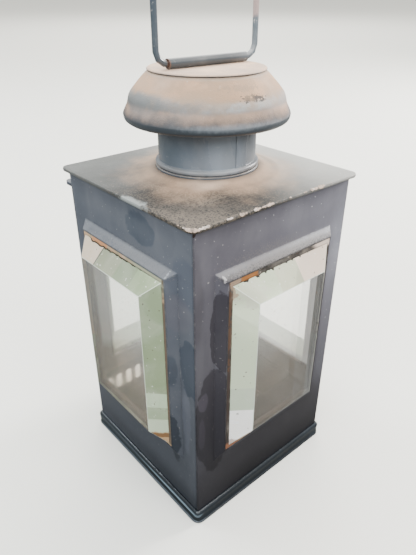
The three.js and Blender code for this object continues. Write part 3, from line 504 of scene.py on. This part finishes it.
# Putty beds: linseed putty pressed in round the glass, now dry, stained by
# rust and broken away. What has squeezed out over the bevels is added here.
lip_face = 0.0648
lip_side, lip_foot, lip_head = 0.0412, 0.0566, 0.1774
crumb_length = 0.0005
ridge_root = 0.0006
ridge_profile = (
    (0, 0), (0.3, 0.00035), (0.65, 0.0004), (0.9, 0.0002), (1.0, 0), (1.26, 0.00003), (1.28, -0.0003),
    (0, -ridge_root),
)
putty_look = dict(
    Blotch_Scale=75.0, Blotch_Amount=0.9, Dust=(0.5, 0.42, 0.34, 1), Dust_Amount=0.3, Rust_Amount=0.45,
    Rust=(0.2, 0.1, 0.05, 1), Bare=(0.6, 0.5, 0.4, 1), Edge_Wear=0.2,
    Low_Roughness=0.85, High_Roughness=0.95,
)
left_putty = enamel_material(
    "left_putty", 0.9, Paint=(0.5, 0.32, 0.19, 1), Blotch=(0.3, 0.27, 0.17, 1), **putty_look)
mark(left_putty, [
    ((-66, -32, 178), (9, 20, 7), (0.34, 0.36, 0.25), "MIX", 0.85, 0.3, 0.3, 70),
    ((-66, 22, 178), (9, 9, 6), (0.55, 0.24, 0.1), "MIX", 0.8, 0.4, 0.2, 90),
    ((-66, -28, 56), (9, 9, 6), (0.62, 0.33, 0.12), "MIX", 0.8, 0.4, 0.2, 90),
    ((-66, -42, 118), (9, 4, 66), (0.11, 0.085, 0.065), "MIX", 0.9, 0.5, 0.2, 160),
])
front_putty = enamel_material(
    "front_putty", 0.9, Paint=(0.035, 0.03, 0.026, 1), Blotch=(0.13, 0.115, 0.1, 1), **putty_look)
mark(front_putty, [
    ((-26, -66, 178), (6, 9, 6), (0.3, 0.115, 0.03), "MIX", 0.9, 0.7, 0.15, 260),
    ((-37, -66, 177), (4, 9, 5), (0.32, 0.22, 0.15), "MIX", 0.85, 0.4, 0.2, 120),
    ((38, -66, 178), (13, 9, 6), (0.68, 0.55, 0.46), "MIX", 0.9, 0.2, 0.2, 90),
    ((-42, -66, 118), (3, 9, 64), (0.05, 0.035, 0.03), "MIX", 0.95, 0.3, 0.2, 90),
    ((-42, -66, 150), (3, 9, 30), (0.13, 0.065, 0.035), "MIX", 0.5, 0.9, 0.05, 240),
    ((-36, -66, 56), (10, 9, 6), (0.24, 0.1, 0.05), "MIX", 0.9, 0.3, 0.2, 90),
    ((-22, -66, 56), (8, 9, 6), (0.4, 0.28, 0.17), "MIX", 0.8, 0.3, 0.2, 90),
])
crack = bpy.data.materials.new("putty_crack")
crack.use_nodes = True
crack.node_tree.nodes["Principled BSDF"].inputs["Base Color"].default_value = (0.028, 0.022, 0.015, 1)
crack.node_tree.nodes["Principled BSDF"].inputs["Roughness"].default_value = 0.9
for side, stuff in (
    ("left", left_putty), ("front", front_putty), ("right", left_putty), ("door", front_putty),
):
    finish_node("putty_" + side, stuff)


def squeeze(name, side, turn, bevel, stuff, runs):
    """Ridges of putty on a bevel. Each run: edge, start, end, width at both ends, raggedness."""
    low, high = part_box("glass_" + side)
    across, depth = (0, 1) if side == "front" else (1, 0)
    half = (high[across] - low[across]) / 2
    thick = high[depth] - low[depth]
    back = min(abs(low[depth]), abs(high[depth]))
    middle = (low.z + high.z) / 2
    lip_out = lip_face - back
    sides = len(ridge_profile)
    lips = {"left": lip_side, "right": lip_side, "top": lip_head - middle, "foot": middle - lip_foot}
    ridge = bmesh.new()
    for edge, start, end, wide, narrow, ragged in runs:
        lip = lips[edge]
        reach = half if edge in ("left", "right") else (high.z - low.z) / 2
        count = int(abs(end - start) / crumb_length)
        rings = []
        for i in range(count + 1):
            along = start + (end - start) * i / count
            spot = Vector((along * 260, lip * 300, 3.0))
            crumb = noise.noise(spot) * 0.6 + noise.noise(spot * 3.1) * 0.4
            width = (wide + (narrow - wide) * i / count) * (1 + ragged * crumb)
            width *= min(1.0, 0.15 + 6 * i / count, 0.15 + 6 * (count - i) / count)
            ring = []
            for j, (share, lift) in enumerate(ridge_profile):
                q = lip - width * share
                surface = pane_edge + (thick - pane_edge) * min(1.0, max(0.0, (reach - q) / bevel))
                top = surface + lift * (1 + 0.6 * crumb) if j else lip_out
                if j == sides - 1:
                    top = surface - ridge_root
                if edge == "top":
                    place = (along, q, top)
                elif edge == "foot":
                    place = (along, -q, top)
                elif edge == "right":
                    place = (q, along, top)
                else:
                    place = (-q, along, top)
                ring.append(ridge.verts.new(place))
            rings.append(ring)
        for before, after in zip(rings, rings[1:]):
            for j in range(sides):
                k = (j + 1) % sides
                surface = ridge.faces.new((before[j], before[k], after[k], after[j]))
                surface.smooth = True
                surface.material_index = 1 if j in (4, 5) else 0
        ridge.faces.new(rings[0])
        ridge.faces.new(rings[-1][::-1])
    bmesh.ops.recalc_face_normals(ridge, faces=ridge.faces)
    place = (Matrix.Rotation(turn, 4, "Z") @ Matrix.Translation((0, -back, middle))
             @ Matrix.Rotation(math.pi / 2, 4, "X"))
    bmesh.ops.transform(ridge, matrix=place, verts=ridge.verts)
    thing = make_object(name, ridge, stuff, crack)
    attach(thing, "lantern")


squeeze("putty_ridges_left", "left", -math.pi / 2, 0.0119, left_putty, [
    ("top", -0.0408, 0.0405, 0.0026, 0.0016, 0.3), ("right", 0.058, -0.058, 0.0008, 0.0012, 0.3),
    ("foot", 0.0405, 0.012, 0.0019, 0.0012, 0.3),
])
squeeze("putty_ridges_front", "front", 0.0, 0.0151, front_putty, [
    ("top", -0.0405, 0.0405, 0.0026, 0.0017, 1.3), ("left", 0.059, -0.059, 0.0006, 0.0007, 0.3),
    ("right", 0.059, -0.059, 0.001, 0.001, 0.3), ("foot", -0.0405, -0.016, 0.0019, 0.0008, 0.5),
])

# Inner frames, straps and candle holder: thin tinned sheet, bent and soldered,
# gone dull and spotted with rust. The frames clamp the panes from inside.
inner_tin = enamel_material(
    "dull_tin", Paint=(0.1, 0.09, 0.08, 1), Blotch=(0.17, 0.14, 0.11, 1), Blotch_Amount=0.8,
    Dust=(0.32, 0.28, 0.24, 1), Dust_Amount=0.7, Rust_Amount=0.7, Edge_Wear=0.3,
    Low_Roughness=0.4, High_Roughness=0.8,
)
for name in (
    "clamp_left", "clamp_front", "clamp_right", "clamp_door",
    "cap_strap_1", "cap_strap_2", "cap_strap_3", "candle_dish", "candle_socket",
):
    finish_node(name, inner_tin)

# Hinge pins, turn button and rivet: plain iron without enamel, rusted and worn
# bright where it is touched. The button turns over the edge of the door.
iron = enamel_material(
    "worn_iron", Paint=(0.16, 0.15, 0.145, 1), Blotch=(0.3, 0.28, 0.26, 1), Blotch_Scale=120.0,
    Dust_Amount=0.3, Rust_Amount=0.8, Edge_Wear=0.9, Low_Roughness=0.3, High_Roughness=0.7,
)
for name in ("hinge_pin_lower", "hinge_pin_upper", "turn_button", "button_rivet"):
    finish_node(name, iron)

# Lid: square sheet with a folded edge, domed in rings round the chimney. Dust
# has baked on to it, coarse at the front corner, and its fold is chipped.
lid_enamel = enamel_material(
    "lid_enamel", 0.6, soft=0.0006, Paint=(0.07, 0.07, 0.07, 1), Blotch=(0.11, 0.1, 0.085, 1),
    Blotch_Scale=18.0, Blotch_Amount=0.6, Dust=(0.1, 0.092, 0.08, 1), Dust_Amount=0.85,
    Rust_Amount=0.03, Run_Amount=0.0, Bare=(0.8, 0.66, 0.55, 1), Edge_Wear=1.0, Low_Roughness=0.42,
    High_Roughness=0.75, Speck_Amount=0.5,
)
mark(lid_enamel, [
    ((64, 0, 212), (70, 90, 40), (0.38, 0.38, 0.355), "MIX", 0.85, 0.1, 0.8, 20),
    ((-64, 50, 212), (64, 76, 40), (0.1, 0.105, 0.1), "MIX", 0.8, 0.1, 0.7, 20),
    ((-46, -46, 212), (62, 62, 40), (0.018, 0.017, 0.016), "MIX", 0.9, 0.16, 0.7, 40),
    ((-50, -50, 212), (26, 26, 40), (0.16, 0.13, 0.1), "MIX", 0.6, 3.4, 0.15, 850),
    ((-50, -30, 212), (10, 17, 9), (0.02, 0.019, 0.018), "MIX", 0.45, 0.6, 0.4, 130),
    ((-24, -52, 212), (18, 9, 9), (0.02, 0.019, 0.018), "MIX", 0.45, 0.6, 0.4, 130),
    ((0, 0, 214), (41, 41, 12), (0.56, 0.37, 0.24), "MIX", 0.85, 0.25, 0.5, 50),
    ((-21, -22, 214), (10, 9.5, 8), (0.76, 0.56, 0.42), "MIX", 0.65, 0.4, 0.6, 60),
    ((-64, -14, 212), (4, 11, 9), (0.3, 0.32, 0.31), "MIX", 0.75, 0.6, 0.3, 220),
    ((0, 0, 216), (32.6, 32.6, 5), (0.07, 0.07, 0.07), "MIX", 0.6, 0.05, 0.1, 40),
])
finish_node("lid", lid_enamel)

# Flakes of old paint: thin scraps of the lid's own coat that have lifted and
# curled up along its front fold and round its corner, brown with rust.
flake_paint = enamel_material(
    "flake_paint", 0.6, 0.3, 0.0001, Paint=(0.42, 0.3, 0.22, 1), Blotch=(0.07, 0.045, 0.03, 1),
    Blotch_Scale=420.0, Blotch_Amount=0.9, Dust=(0.6, 0.52, 0.46, 1), Dust_Amount=0.35,
    Rust=(0.2, 0.09, 0.05, 1), Rust_Amount=0.6, Bare=(0.9, 0.88, 0.85, 1), Edge_Wear=0.4,
    Low_Roughness=0.6, High_Roughness=0.8, Run_Amount=0.0,
)
lid_low, lid_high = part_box("lid")
reach = lid_high.x
fold_height = 0.0022
top = lid_low.z + fold_height
corner = 0.005
stride, curl_depth, flake_sheet = 0.00022, 0.00012, 0.00014
fold = ((-0.0032, -0.0004), (-0.0019, 0.0001), (-0.001, 0.0003), (-0.0002, -0.0001),
        (0.0003, -0.0009), (0.0004, -0.0017), (0.0003, -0.0026))


def on_fold(along):
    """Place and outward direction at a distance along the fold, 0 at the middle of the corner arc."""
    arc = corner * math.pi / 4
    if along > arc:
        return Vector((corner - reach + along - arc, -reach, 0)), Vector((0, -1, 0))
    if along < -arc:
        return Vector((-reach, corner - reach - along - arc, 0)), Vector((-1, 0, 0))
    turn = math.radians(225) + along / corner
    out = Vector((math.cos(turn), math.sin(turn), 0))
    return Vector((corner - reach, corner - reach, 0)) + out * corner, out


flakes = bmesh.new()
rows = []
for step in range(-60, 460):
    along = step * stride
    spot, out = on_fold(along)
    here = noise.noise(Vector((along * 190, 1.7, 0))) + 0.5 * noise.noise(Vector((along * 620, 4.1, 0)))
    for x, size in ((-0.056, 0.5), (-0.033, 0.85), (-0.024, 0.3), (-0.012, 0.6), (0.028, 0.35)):
        here += size * math.exp(-((spot.x - x) / 0.0022) ** 2) * (1 if along > 0 else 0)
    here += 0.3 if abs(along) < 0.006 else (0.06 if 0 < along < 0.05 else -0.16)
    width = min(1.0, max(0.0, here + 0.1))
    crisp = noise.noise(Vector((along * 1500, 9.3, 0)))
    first, last = 3.2 - (1.6 + crisp) * width, 3.2 + (1.3 - 0.9 * crisp) * width
    row = []
    for j in range(7):
        share = first + (last - first) * j / 6
        k = min(5, int(share))
        t = share - k
        side = fold[k][0] * (1 - t) + fold[k + 1][0] * t
        rise = fold[k][1] * (1 - t) + fold[k + 1][1] * t
        curl = curl_depth * (1 + noise.noise(Vector((along * 900, j * 0.7, 2.0))))
        height = Vector((0, 0, top + rise + curl * (j < 4)))
        row.append(flakes.verts.new(spot + out * (side + curl * (j > 3)) + height))
    rows.append((width, row))
for (width, before), (width_after, after) in zip(rows, rows[1:]):
    if width > 0.12 and width_after > 0.12:
        for j in range(6):
            flakes.faces.new((before[j], after[j], after[j + 1], before[j + 1]))
bmesh.ops.delete(flakes, geom=[v for v in flakes.verts if not v.link_faces], context="VERTS")
bmesh.ops.recalc_face_normals(flakes, faces=flakes.faces)
bmesh.ops.solidify(flakes, geom=flakes.faces[:], thickness=flake_sheet)
thing = make_object("paint_flakes", flakes, flake_paint)
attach(thing, "lantern")

# Neck ring and collar: the chimney, one sheet rolled round, lapped at a soldered
# seam and beaded at its foot, and the ring that holds it in the lid.
chimney_enamel_and_sheen = enamel_material(
    "chimney_enamel_and_sheen", 0.3, 0.4, 0.0007, Paint=(0.14, 0.165, 0.195, 1), Blotch=(0.22, 0.24, 0.265, 1),
    Blotch_Scale=22.0, Dust=(0.34, 0.32, 0.3, 1), Dust_Amount=0.35, Rust_Amount=0.03, Edge_Wear=0.15,
    Run_Amount=0.06, Low_Roughness=0.25, High_Roughness=0.5, Bare=(0.24, 0.26, 0.28, 1),
)
# Painted light and shade on the collar: darker at both edges and lighter in a strip right of the middle
# as a painted sheen, and a painted shadow in a band under the cap. The thin ring at the foot is dust on
# the bead.
mark(chimney_enamel_and_sheen, [
    ((-28, 2, 236), (12, 12, 26), (0.64, 0.68, 0.7), "MULTIPLY", 0.85, 0.1, 0.6, 40),
    ((0, 0, 219), (40, 40, 1.6), (0.3, 0.27, 0.24), "MIX", 0.3, 0.4, 0.3, 120),
    ((12, -27, 236), (10, 10, 26), (0.45, 0.45, 0.45), "MULTIPLY", 0.85, 0.1, 0.6, 40),
    ((-10, -27, 236), (10, 9, 26), (1.45, 1.48, 1.5), "MULTIPLY", 0.85, 0.1, 0.6, 40),
    ((-22, 18, 236), (9, 9, 26), (0.6, 0.6, 0.6), "MULTIPLY", 0.85, 0.1, 0.6, 40),
    ((0, 0, 252), (90, 90, 9), (0.6, 0.6, 0.62), "MULTIPLY", 0.7, 0.1, 0.5, 40),
    ((-8, -28, 226), (5, 9, 7), (0.9, 0.88, 0.85), "MULTIPLY", 0.7, 0.3, 0.3, 90),
])
neck_enamel = enamel_material(
    "neck_enamel", 0.3, 0.4, 0.0004, Paint=(0.06, 0.072, 0.086, 1), Blotch=(0.1, 0.115, 0.13, 1),
    Dust=(0.42, 0.34, 0.27, 1), Dust_Amount=0.6, Rust_Amount=0.05, Low_Roughness=0.32, High_Roughness=0.6,
)
finish_node("neck_ring", neck_enamel)
finish_node("collar", chimney_enamel_and_sheen)

# Cap: shell spun with a convex shoulder, a waist and a rolled rim, and the disc
# that closes it. Brown dust lies on the shoulder and the waist is still dark; the
# rim is painted darker still, partly as painted shade, with a painted highlight.
cap_look = dict(
    Paint=(0.11, 0.13, 0.148, 1), Blotch=(0.17, 0.175, 0.18, 1), Blotch_Scale=30.0, Rust_Amount=0.02,
    Edge_Wear=0.1, Run_Amount=0.0, Speck_Amount=0.5, Low_Roughness=0.3, High_Roughness=0.85,
)
cap_enamel = enamel_material(
    "cap_enamel", 0.6, 0.5, 0.0002, Dust=(0.5, 0.29, 0.16, 1), Dust_Amount=1.0, **cap_look)
mark(cap_enamel, [
    ((0, 0, 264), (90, 90, 4), (0.54, 0.34, 0.2), "MIX", 0.5, 0.2, 0.6, 50),
    ((0, 0, 250.8), (90, 90, 3.2), (0.5, 0.32, 0.22), "MIX", 0.75, 0.2, 0.5, 50),
    ((0, 0, 256.6), (90, 90, 3), (0.28, 0.29, 0.285), "MIX", 0.65, 0.35, 0.6, 60),
    ((-44, 6, 255.4), (24, 22, 4.4), (0.12, 0.13, 0.13), "MIX", 0.85, 0.25, 0.4, 60),
    ((-16, -42, 256.2), (24, 14, 2.4), (0.38, 0.4, 0.4), "MIX", 0.6, 0.3, 0.5, 60),
    ((-3.7, -43.2, 259.4), (6.4, 9, 1.4), (0.03, 0.03, 0.03), "MIX", 0.85, 1.2, 0.05, 560),
    ((-12, -40, 264), (15, 9, 1.2), (0.16, 0.14, 0.12), "MIX", 0.4, 1.0, 0.05, 420),
    ((-24, -34, 262), (34, 24, 6), (0.33, 0.22, 0.14), "MIX", 0.55, 1.5, 0.5, 110),
    ((-20, -40, 250.6), (30, 14, 2.6), (0.32, 0.22, 0.15), "MIX", 0.55, 1.3, 0.5, 130),
    ((-40, -8, 251), (16, 22, 3), (0.32, 0.27, 0.24), "MIX", 0.6, 0.25, 0.6, 60),
    # The rim is painted near black, darker than the coat: partly the undusted enamel, partly painted
    # shade on the down-turned rim.
    ((0, 0, 243), (90, 90, 8.8), (0.036, 0.044, 0.052), "MIX", 0.94, 0.18, 0.35, 80),
    # Painted highlight along the front of the rim.
    ((-16, -38, 247), (24, 14, 1.5), (0.3, 0.33, 0.36), "MIX", 0.4, 0.35, 0.8, 500),
    ((-40, -16, 256), (18, 22, 2.2), (0.15, 0.155, 0.155), "MIX", 0.55, 0.7, 0.6, 240),
    ((0, 0, 268.4), (90, 90, 1.0), (0.42, 0.34, 0.27), "MIX", 0.5, 0.4, 0.5, 90),
])
disc_enamel = enamel_material(
    "disc_enamel", 0.3, 0.3, Dust=(0.78, 0.53, 0.36, 1), Dust_Amount=1.0, **cap_look)
outline = (
    (0, 0), (0.26, 0.14), (0.47, 0.27), (0.64, 0.38), (0.735, 0.46), (0.785, 0.53), (0.815, 0.6),
    (0.848, 0.66), (0.9, 0.72), (0.958, 0.78), (0.993, 0.83), (1, 0.87), (0.962, 0.945),
    (0.85, 0.993), (0.73, 0.985),
)
throat, mouth = 0.0323, 0.0295
shell_sheet, shell_dents = 0.0009, 0.00022
spin_steps = 144


def curve_through(points, steps):
    """A smooth curve through every point, cut into short straight steps."""
    ends = [points[0], *points, points[-1]]
    out = []
    for a, b, c, d in zip(ends, ends[1:], ends[2:], ends[3:]):
        for k in range(steps):
            t = k / steps
            out.append(tuple(
                0.5 * (2 * q + (r - p) * t + (2 * p - 5 * q + 4 * r - s) * t * t
                       + (3 * q - p - 3 * r + s) * t ** 3)
                for p, q, r, s in zip(a, b, c, d)))
    return [*out, points[-1]]


def spin_round(name, profile, material, cad_node, dents=0.0):
    shape = bmesh.new()
    ring = [shape.verts.new((x, 0, z)) for x, z in profile]
    edges = [shape.edges.new(pair) for pair in zip(ring, ring[1:])]
    if profile[0][0] > 0:
        edges.append(shape.edges.new((ring[-1], ring[0])))
    bmesh.ops.spin(shape, geom=ring + edges, cent=(0, 0, 0), axis=(0, 0, 1), angle=math.tau,
                   steps=spin_steps, use_merge=True)
    bmesh.ops.remove_doubles(shape, verts=shape.verts, dist=weld_distance)
    bmesh.ops.recalc_face_normals(shape, faces=shape.faces)
    for vert in shape.verts:
        wide = dents * (0.5 + 0.5 * noise.noise(vert.co * 55))
        sink = wide + dents * 0.3 * (1 + noise.noise(vert.co * 240))
        flat = Vector((vert.co.x, vert.co.y, 0))
        if flat.length > 0.001:
            vert.co -= flat.normalized() * sink
    for surface in shape.faces:
        surface.smooth = True
    thing = make_object(name, shape, material)
    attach(thing, "lantern")
    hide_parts(cad_node)


shell_low, shell_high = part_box("cap_shell")
rim = shell_high.x
skin = [(throat + (rim - throat) * across, shell_high.z - (shell_high.z - shell_low.z - 0.0001) * down)
        for across, down in curve_through(outline, 5)]
inner = []
for i, (x, z) in enumerate(skin):
    before, after = skin[max(0, i - 1)], skin[min(len(skin) - 1, i + 1)]
    run, fall = after[0] - before[0], after[1] - before[1]
    size = math.hypot(run, fall)
    inner.append((x + fall / size * shell_sheet, z - run / size * shell_sheet))
closing = [(mouth, shell_high.z - shell_sheet), (mouth, shell_high.z)]
spin_round("cap_skin", skin + inner[::-1][:-1] + closing,
           cap_enamel, "cap_shell", shell_dents)
disc_low, disc_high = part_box("cap_disc")
thin = disc_high.z - disc_low.z
edge = [(disc_high.x - thin * (1 - math.cos(a)), disc_high.z - thin * (1 - math.sin(a)))
        for a in (math.radians(d) for d in range(0, 91, 10))]
spin_round("cap_lid", [(0, disc_low.z), (0.02, disc_low.z), (disc_high.x - 0.0004, disc_low.z), *edge,
                       (0.02, disc_high.z), (0.008, disc_high.z), (0, disc_high.z)],
           disc_enamel, "cap_disc")

# Handle: a sleeve rolled from sheet and soldered on the disc, and a bail bent
# from stout wire that swings in it. Both carry worn dark enamel and some dust.
wire_enamel = enamel_material(
    "wire_enamel", 0.25, 0.5, 0.0003, Paint=(0.068, 0.086, 0.104, 1), Blotch=(0.13, 0.145, 0.16, 1),
    Blotch_Scale=60.0, Dust=(0.5, 0.46, 0.42, 1), Dust_Amount=0.28, Rust_Amount=0.1, Edge_Wear=0.2,
    Run_Amount=0.0, Low_Roughness=0.28, High_Roughness=0.55,
)
mark(wire_enamel, [
    ((0, 2, 274), (29, 8, 7), (0.55, 0.56, 0.55), "MULTIPLY", 0.9, 0.1, 0.2, 60),
    ((36, 0, 288), (8, 9, 20), (1.9, 1.9, 1.85), "MULTIPLY", 0.9, 0.2, 0.4, 60),
    ((36, 0, 302), (8, 9, 9), (0.5, 0.38, 0.35), "MIX", 0.85, 0.25, 0.1, 120),
    ((-24.6, 3.1, 272), (0.8, 9, 9), (0.1, 0.055, 0.04), "MIX", 0.9, 0.3, 0.2, 200),
])
for name in ("handle_sleeve", "handle_bail"):
    finish_node(name, wire_enamel)

# Floor: one wide flat sheet of pale paper, a hair below the pan. Looked at, also
# through glass, it is pale. What it throws back on the lantern is a darker tone.
paper = bpy.data.materials.new("pale_paper")
paper.use_nodes = True
tree = paper.node_tree
tree.nodes["Principled BSDF"].inputs["Base Color"].default_value = (0.75, 0.745, 0.69, 1)
tree.nodes["Principled BSDF"].inputs["Roughness"].default_value = 1.0
tree.nodes["Principled BSDF"].inputs["Specular IOR Level"].default_value = 0.0
darker = tree.nodes.new("ShaderNodeBsdfDiffuse")
darker.inputs["Color"].default_value = (0.11, 0.11, 0.105, 1)
seen = tree.nodes.new("ShaderNodeLightPath")
either = tree.nodes.new("ShaderNodeMath")
either.operation = "MAXIMUM"
tree.links.new(seen.outputs["Is Camera Ray"], either.inputs[0])
tree.links.new(seen.outputs["Is Transmission Ray"], either.inputs[1])
choose = tree.nodes.new("ShaderNodeMixShader")
tree.links.new(either.outputs[0], choose.inputs[0])
tree.links.new(darker.outputs[0], choose.inputs[1])
tree.links.new(tree.nodes["Principled BSDF"].outputs[0], choose.inputs[2])
tree.links.new(choose.outputs[0], tree.nodes["Material Output"].inputs["Surface"])
plain = bmesh.new()
bmesh.ops.create_grid(plain, x_segments=1, y_segments=1, size=40.0)
floor = make_object("floor", plain, paper)
floor.location.z = -0.0003

# Light: soft lamps from the back, the left, the right, the front and above, of
# which the right one is the strongest, one more for the floor far behind, and a
# pale room all round.


def add_light(name, place, aim, size, power, colour):
    lamp = bpy.data.lights.new(name, "AREA")
    lamp.shape = "RECTANGLE"
    lamp.size, lamp.size_y = size
    lamp.energy = power
    lamp.color = colour
    thing = bpy.data.objects.new(name, lamp)
    bpy.context.scene.collection.objects.link(thing)
    thing.location = place
    thing.rotation_euler = (Vector(aim) - Vector(place)).to_track_quat("-Z", "Y").to_euler()


add_light("window_back", (-0.55, 1.45, 1.7), (0, 0, 0.12), (0.7, 0.5), 30, (0.84, 0.93, 1.0))
add_light("window_left", (-2.0, -0.6, 1.5), (0, 0, 0.12), (1.4, 1.2), 48, (0.86, 0.94, 1.0))
add_light("window_right", (2.0, -0.35, 0.95), (0, 0, 0.12), (0.6, 0.6), 100, (1.0, 0.98, 0.96))
add_light("front_fill", (0.3, -2.3, 1.7), (0, 0, 0.15), (1.6, 1.2), 60, (1.0, 0.99, 0.99))
add_light("ceiling", (0.2, 0.3, 2.2), (0, 0, 0.15), (2.0, 2.0), 48, (1.0, 0.98, 0.95))
add_light("backdrop", (2.6, 3.0, 2.6), (2.4, 2.8, 0), (2.5, 2.5), 150, (1.0, 0.99, 0.96))
world = bpy.data.worlds.new("room")
bpy.context.scene.world = world
world.use_nodes = True
tree = world.node_tree
w = Wiring(tree)
sky = tree.nodes.new("ShaderNodeTexCoord")
height = w.along(sky.outputs["Generated"])[2]
room_tone = w.mix(w.ramp(height, 0.0, 0.9), (0.3, 0.31, 0.32, 1), (0.98, 0.98, 0.95, 1))
w.put(tree.nodes["Background"].inputs[0], room_tone)
tree.nodes["Background"].inputs[1].default_value = 1.7

# Camera: looks down on the front corner from the left. Its place was found by a
# least squares fit of the corners of the body, the window lips and the lid.
lens = bpy.data.cameras.new("camera")
lens.sensor_width = 36.0
lens.lens = 33.28
camera = bpy.data.objects.new("camera", lens)
bpy.context.scene.collection.objects.link(camera)
eye = Vector((-0.19612, -0.22740, 0.30873))
look = Vector((0.5684, 0.6562, -0.4962)).normalized()
right = Vector((0.7559, -0.6547, 0.0)).normalized()
up = right.cross(look)
camera.matrix_world = Matrix((
    (right.x, up.x, -look.x, eye.x),
    (right.y, up.y, -look.y, eye.y),
    (right.z, up.z, -look.z, eye.z),
    (0, 0, 0, 1),
))
bpy.context.scene.camera = camera
